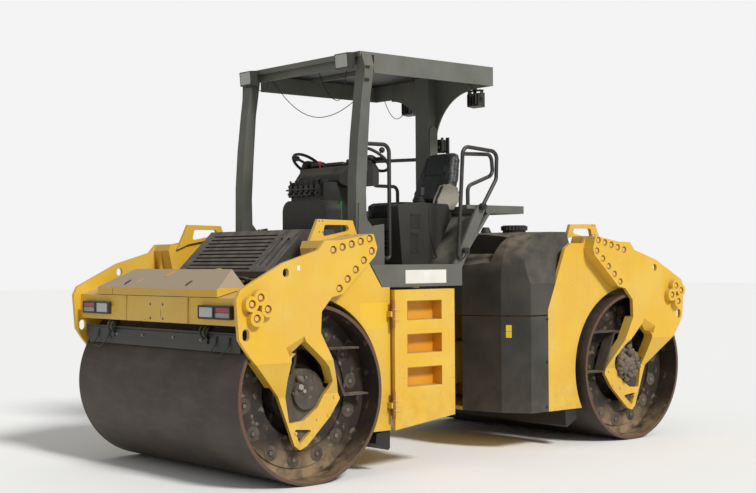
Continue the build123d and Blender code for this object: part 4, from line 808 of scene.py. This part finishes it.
def drum_dirt():
    """Mud heaped on each hub's head: how many lumps, how wide a heap, how far out it stands."""
    heaps = {("rear", "left"): (150, 0.13, 1.045), ("rear", "right"): (60, 0.10, 1.02),
             ("front", "left"): (14, 0.09, 1.005), ("front", "right"): (26, 0.09, 1.005)}
    for end, x, run, body, side, way in corners():
        count, wide, out = heaps[end, side]
        for _ in range(count):
            turn = random.uniform(0.0, 2.0) * math.pi
            reach = wide * math.sqrt(random.random())
            depth = way * (out - 0.5 * reach * random.random() - 0.02)
            up = AXLE.z + 0.02 + 1.1 * reach * math.sin(turn)
            clod((x + reach * math.cos(turn), depth, up), random.uniform(0.010, 0.034))
        made(f"{end}_hub_mud_{side}", dried_mud, body, angle=80)


def drum_pipes():
    """Drive pipes from the fork down to the motor inside each opening, with their fittings."""
    for end, x, run, body, side, way in corners():
        for far, depth, foot in ((0.075, 0.955, 0.02), (0.125, 0.935, -0.02)):
            line = [(far, depth, 0.40), (far - 0.005, depth, 0.24), (far + 0.02, depth - 0.01, 0.14),
                    (far - 0.01, depth - 0.01, 0.07), (foot + 0.03, depth, 0.045)]
            line = smooth_line([(x + run * px, way * py, AXLE.z + pz) for px, py, pz in line], 5)
            tube(line, 0.014, 10)
        made(f"{end}_drive_pipes_{side}", powder_black, body)
        for far, up, size in ((0.06, 0.045, 0.022), (0.03, 0.015, 0.014)):
            spot = Vector((x + run * far, way * 0.985, AXLE.z + up))
            tube([spot, spot + Vector((0, way * 0.03, 0.008))], size, 6)
        made(f"{end}_drive_fittings_{side}", zinc, body, bevel=0.001)


# ---- operator's place ----
def at_floor(ahead_of, y, above):
    """A point from the floor's front edge, given in millimetres as in the model's source."""
    return Vector((FLOOR_FRONT + ahead_of / 1000, y, FLOOR_TOP + above / 1000))


def valve_block():
    """Levers, rods, caps and hoses in front of the valve block over the front panel."""
    front = FLOOR_FRONT - 0.130
    for i in range(6):
        y = -0.165 + 0.067 * i
        brick((front, y - 0.022, 2.005), (front + 0.028, y + 0.022, 2.095))
        tube([(front + 0.02, y, 2.09), (front + 0.028, y + 0.004, 2.135)], 0.008, 8)
        tube([(front + 0.028, y, 2.03), (front + 0.045, y, 2.03)], 0.013, 8)
    for z, y0, y1 in ((2.062, -0.20, 0.22), (2.018, -0.15, 0.12)):
        tube([(front + 0.038, y0, z), (front + 0.038, y1, z)], 0.007, 8)
    for y, z in ((-0.075, 2.155), (0.168, 2.145), (-0.19, 2.11)):
        hose = [(front - 0.02, y, 2.06), (front + 0.02, y, z - 0.02), (front - 0.03, y - 0.01, z)]
        tube(smooth_line(hose, 4), 0.010, 8)
    brick((front - 0.06, 0.10, 2.095), (front + 0.01, 0.20, 2.135))
    brick((front - 0.06, -0.20, 2.095), (front, -0.10, 2.125))
    made("valve_levers", powder_black, bevel=0.001)


def dashboard():
    """Hoods over the dashboard's dials, its red lever and the green cable duct."""
    x = FLOOR_FRONT - 0.445
    for way in SIDES.values():
        place = facing((x, way * 0.22, 2.252), (-0.3, 0, 1), (1, 0, 0))
        prism(rounded(0.15, 0.10, 0.02), 0.0, 0.035, place)
    prism(rounded(0.22, 0.08, 0.02), 0.0, 0.025, facing((x, 0.0, 2.254), (-0.2, 0, 1), (1, 0, 0)))
    made("dash_pods", abs_grain, bevel=0.004)
    tube([at_floor(-360, -0.115, 765), at_floor(-358, -0.115, 795)], 0.006, 10)
    tube([at_floor(-358, -0.115, 790), at_floor(-357, -0.115, 818)], 0.013, 14)
    made("red_lever", red_knob, bevel=0.002)
    brick((0.738, 0.2, 1.60), (0.762, 0.206, 1.97))
    made("green_duct", green_duct, bevel=0.001)


def wheel_knobs():
    """A spinner knob on each steering wheel's rim, and a cap on its hub."""
    lean = math.atan2(-0.360 + 0.455, 0.795 - 0.670)
    axis = Vector((-math.sin(lean), 0, math.cos(lean)))
    for side, way in SIDES.items():
        hub = at_floor(-455, way * 0.4, 795) + axis * 0.015
        out = Vector((math.cos(lean), 0, math.sin(lean))) * 0.35 + Vector((0, way * 0.94, 0))
        rim = hub + out.normalized() * 0.140
        knob = [(0.006, 0.0), (0.006, 0.02), (0.020, 0.028), (0.023, 0.045), (0.015, 0.058), (0.0005, 0.06)]
        lathe(knob, 20, Matrix.Translation(rim) @ turned_to(axis))
        cap = [(0.042, -0.02), (0.044, 0.008), (0.030, 0.020), (0.0005, 0.024)]
        lathe(cap, 24, Matrix.Translation(hub) @ turned_to(axis))
        made(f"wheel_knob_{side}", rubber)


def control_pod():
    """Framed recesses, seam and lever gaiter of the pod beside the seat, and the pale bracket of the
    armrest."""
    face = 0.675
    for x0, z0, x1, z1 in ((0.364, 1.765, 0.441, 1.855), (0.384, 1.576, 0.442, 1.709)):
        brick((x0, face, z0), (x1, face + 0.002, z1))
    made("pod_recesses", rubber)
    rim = 0.008
    for x0, z0, x1, z1 in ((0.356, 1.757, 0.449, 1.863), (0.376, 1.568, 0.450, 1.717)):
        for side in ((x0, z1 - rim, x1, z1), (x0, z0, x1, z0 + rim), (x0, z0, x0 + rim, z1),
                     (x1 - rim, z0, x1, z1)):
            brick((side[0], face, side[1]), (side[2], face + 0.005, side[3]))
    made("pod_frames", abs_grain, bevel=0.001)
    seam = [(0.251, 1.925), (0.262, 1.82), (0.25, 1.71), (0.215, 1.60), (0.17, 1.50)]
    tube(smooth_line([(x, face, z) for x, z in seam], 5), 0.007, 6)
    gaiter = [(0.045, 0.0), (0.047, 0.008), (0.030, 0.018), (0.034, 0.026), (0.022, 0.036), (0.024, 0.044),
              (0.012, 0.056), (0.0005, 0.058)]
    lathe(gaiter, 20, Matrix.Translation(at_floor(-771, 0.61, 462)))
    made("pod_trim", rubber)
    outline = [(-1.100, 0.425), (-0.925, 0.425), (-0.935, 0.50), (-1.004, 0.612), (-1.060, 0.626),
               (-1.150, 0.60), (-1.165, 0.50)]
    outline = [(FLOOR_FRONT + u, FLOOR_TOP + v) for u, v in outline]
    for y0, y1 in ((0.5775, 0.5785), (0.620, 0.632)):
        prism(outline, -y1, -y0, Matrix.Rotation(math.pi / 2, 4, "X"))
    made("armrest_bracket", pale_abs, bevel=0.004)


def lamp_brackets():
    """Yokes, fins and cable glands on the backs of the rear work lamps."""
    low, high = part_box("rear_work_lights")
    front = low.x + 0.075
    for side, way in SIDES.items():
        y = way * 0.405
        for shift in (-0.045, -0.015, 0.015, 0.045):
            fin = y + shift
            brick((front, fin - 0.004, low.z + 0.02), (front + 0.018, fin + 0.004, low.z + 0.105))
        for shift in (-0.074, 0.066):
            arm = y + shift
            brick((front - 0.05, arm, low.z + 0.045), (front - 0.018, arm + 0.008, high.z - 0.012))
            pin = [(front - 0.034, arm + along, low.z + 0.07) for along in (-0.012, 0.02)]
            tube(pin, 0.012, 10)
        brick((front - 0.055, y - 0.074, high.z - 0.022), (front - 0.013, y + 0.074, high.z - 0.012))
        tube([(front, y - 0.02, low.z + 0.115), (front + 0.03, y - 0.02, low.z + 0.115)], 0.010, 10)
        made(f"rear_lamp_yoke_{side}", powder_black, bevel=0.001)


def mirror_box():
    """A small black box and its plate on an arm of the rear post."""
    prism(rounded(0.072, 0.112, 0.02), -0.03, 0.03, facing((-0.455, 0.062, 2.462), (1, 0, 0)))
    brick((-0.462, 0.118, 2.398), (-0.448, 0.152, 2.530))
    brick((-0.470, 0.02, 2.405), (-0.45, 0.13, 2.42))
    tube([(-0.46, 0.065, 2.515), (-0.46, 0.065, 2.535)], 0.012, 10)
    brick((-0.46, 0.05, 2.44), (-0.39, 0.075, 2.46))
    made("mirror_box", powder_black, bevel=0.003)


def plate_bolts():
    """Bolts of the posts' head plates, of the rail's clamps and of the panels under the tank."""
    seats = []
    for way in SIDES.values():
        for ahead_of, out, above in ((-112, HEAD_PLATE_OUT, 1352), (-92, HEAD_PLATE_OUT, 1352),
                                     (-118, HEAD_PLATE_OUT, 1444), (-98, HEAD_PLATE_OUT, 1444),
                                     (-882, 1.007, 98), (-1067, 1.007, 437)):
            seats.append((at_floor(ahead_of, way * out, above), (0, way, 0)))
    grow("head_plate_bolts", powder_black, seats, SMALL)
    seats = [((x, way * SIDE_HALF, z), (0, way, 0))
             for x, z in ((-0.708, 1.036), (-0.704, 0.694), (-0.700, 0.338)) for way in SIDES.values()]
    grow("panel_bolts", powder_black, seats, SMALL, "rear_module")


# The hood's slope from its top edge: where it starts, and how far it runs and falls
SLOPE_X, SLOPE_Z = AXLE.x - 0.275, AXLE.z + 1.110
SLOPE_RUN, SLOPE_FALL = 0.295, 0.280


def hood_trim():
    """Two slanting seams on the hood's slope, and pipes on the deck ahead of the hood."""
    for y0, y1, share0, share1 in ((0.395, 0.355, 0.06, 0.96), (0.56, 0.575, 0.05, 0.92)):
        seam = [(SLOPE_X + SLOPE_RUN * share, y, SLOPE_Z - SLOPE_FALL * share)
                for y, share in ((y0, share0), (y1, share1))]
        tube(seam, 0.004, 6)
    made("hood_seams", rubber, "hood")
    for x, z, y0, y1, radius in ((1.975, 1.405, -0.70, -0.10, 0.016), (1.935, 1.395, -0.55, 0.62, 0.012),
                                 (2.005, 1.398, -0.10, 0.72, 0.012)):
        pipe = [(x, y0, z - 0.03), (x, y0 + 0.05, z), (x, y1 - 0.05, z), (x, y1, z - 0.03)]
        tube(smooth_line(pipe, 5), radius, 10)
    made("deck_pipes", powder_black)


plates()
door_hinges()
pocket_shade_plates()
scraper_dressing()
inner_scrapers()
beam_dressing()
cover_dressing()
lug_holes()
drum_dirt()
drum_pipes()
valve_block()
dashboard()
wheel_knobs()
control_pod()
lamp_brackets()
mirror_box()
plate_bolts()
hood_trim()


# ---- seat ----
VOXEL = 0.009
PRESSURE, STIFFNESS, SWELL_STEPS = 4, 20, 15
PUFF = 0.008                  # how far a cover may stand out of its node's box
PAD_INSET = 0.014             # cover's start inside that box, to swell from
LONG_CHANNEL = (0.008, 0.009)  # width and depth


def upholster(name, node, cap, seams):
    """A padded piece: the built shape remeshed, swollen as foam under its cover by no more than a
    cap, then seamed."""
    bmesh.ops.recalc_face_normals(BUILT, faces=BUILT.faces)
    obj = linked(name, meshed(name))
    remesh = obj.modifiers.new("remesh", "REMESH")
    remesh.mode = "VOXEL"
    remesh.voxel_size = VOXEL
    obj.data = baked(obj)
    obj.modifiers.clear()
    start = [v.co.copy() for v in obj.data.vertices]
    cloth = obj.modifiers.new("cloth", "CLOTH")
    cloth.settings.use_pressure = True
    cloth.settings.uniform_pressure_force = PRESSURE
    cloth.settings.effector_weights.gravity = 0
    cloth.settings.tension_stiffness = cloth.settings.compression_stiffness = STIFFNESS
    scene = bpy.context.scene
    for step in range(1, SWELL_STEPS + 1):
        scene.frame_set(step)
    swollen = baked(obj)
    obj.modifiers.clear()
    scene.frame_set(1)
    for vertex, first, last in zip(obj.data.vertices, start, swollen.vertices):
        move = last.co - first
        vertex.co = first + (move.normalized() * min(move.length, cap) if move.length > 0 else move)
    for vertex in obj.data.vertices:
        vertex.co += seams(vertex.co)
    low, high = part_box(node)
    for vertex in obj.data.vertices:
        for axis in range(3):
            vertex.co[axis] = min(max(vertex.co[axis], low[axis]), high[axis] + PUFF)
    obj.data.shade_smooth()
    obj.data.materials.append(seat_vinyl)
    soft = obj.modifiers.new("soft", "SUBSURF")
    soft.levels = soft.render_levels = 1
    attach(obj, "front_module")
    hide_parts(node)


def groove(distance, width, depth):
    """How deep a sewn channel is at a distance from its line."""
    return depth * math.exp(-(distance / width) ** 2)


def cushion():
    """The seat's pad: a rounded block with two long channels and one across between them."""
    low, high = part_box("seat_cushion")
    middle = (low + high) / 2
    panel = 0.13
    prism(rounded(high.x - low.x - 2 * PAD_INSET, high.y - low.y - 2 * PAD_INSET, 0.07),
          low.z + 0.002, high.z - PAD_INSET, Matrix.Translation((middle.x, middle.y, 0)))

    def seams(co):
        if co.z < middle.z:
            return Vector()
        y, x = co.y - middle.y, co.x - middle.x
        across = groove(x + 0.08, 0.008, 0.007) * (abs(y) < panel)
        return Vector((0, 0, -(groove(abs(y) - panel, *LONG_CHANNEL) + across)))
    upholster("seat_pad", "seat_cushion", 0.018, seams)


def backrest():
    """The seat's back: a tapered block that leans with the built one, with the same channels."""
    low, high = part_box("seat_back")
    middle = (low + high) / 2
    foot = Vector((high.x - 0.045, middle.y, low.z + 0.01))
    head = Vector((low.x + 0.055, middle.y, high.z - 0.02))
    up = (head - foot).normalized()
    side = Vector((0, 1, 0))
    front = side.cross(up)
    place = Matrix((side, up, front)).transposed().to_4x4()
    place.translation = foot
    tall = (head - foot).length
    wide = (high.y - low.y) / 2 - PAD_INSET
    panel = 0.12
    outline = [(-wide, 0), (wide, 0), (wide, 0.5 * tall), (0.80 * wide, 0.93 * tall), (0.62 * wide, tall),
               (-0.62 * wide, tall), (-0.80 * wide, 0.93 * tall), (-wide, 0.5 * tall)]
    prism(outline, -0.045, 0.030, place)
    bmesh.ops.bevel(BUILT, geom=list(BUILT.edges), offset=0.02, segments=2, affect="EDGES")
    inverse = place.inverted()

    def seams(co):
        own = inverse @ co
        if own.z < 0:
            return Vector()
        across = groove(own.y - 0.55 * tall, 0.009, 0.008) * (abs(own.x) < panel)
        return front * -(groove(abs(own.x) - panel, *LONG_CHANNEL) + across)
    upholster("seat_backrest", "seat_back", 0.016, seams)


cushion()
backrest()


# ---- floor and light ----
FLOOR_HALF = 60
SKY_LIGHT, SKY_SEEN = 0.42, 0.9


def stage():
    """A wide pale floor just under the drums."""
    brick((-FLOOR_HALF, -FLOOR_HALF, -0.06), (FLOOR_HALF, FLOOR_HALF, -0.002))
    floor = linked("floor", meshed("floor"))
    material, tree, shader = begin("pale_floor")
    feed(tree, shader, {"Base Color": linear("#F4F4F2"), "Roughness": 0.9})
    floor.data.materials.append(material)


def sky():
    """Even white light, brighter where the camera sees it than where it lights the object."""
    world = bpy.data.worlds.new("studio")
    world.use_nodes = True
    tree = world.node_tree
    tree.nodes.clear()
    path = add(tree, "ShaderNodeLightPath")
    seen = add(tree, "ShaderNodeMath", (path["Is Camera Ray"], path["Is Transmission Ray"]),
               operation="MAXIMUM")[0]
    strength = add(tree, "ShaderNodeMapRange", (seen, 0.0, 1.0, SKY_LIGHT, SKY_SEEN))[0]
    light = add(tree, "ShaderNodeBackground", {"Color": (1, 1, 1, 1), "Strength": strength})[0]
    add(tree, "ShaderNodeOutputWorld", {"Surface": light})
    bpy.context.scene.world = world


def lamp(name, direction, strength, angle):
    """A far lamp in a direction, as wide as an angle in degrees."""
    data = bpy.data.lights.new(name, "SUN")
    data.energy = strength
    data.angle = math.radians(angle)
    linked(name, data).matrix_world = turned_to(direction)


stage()
sky()
lamp("key", (0.02, 0.80, 0.60), 3.0, 12)
bpy.context.scene.view_settings.view_transform = "Standard"
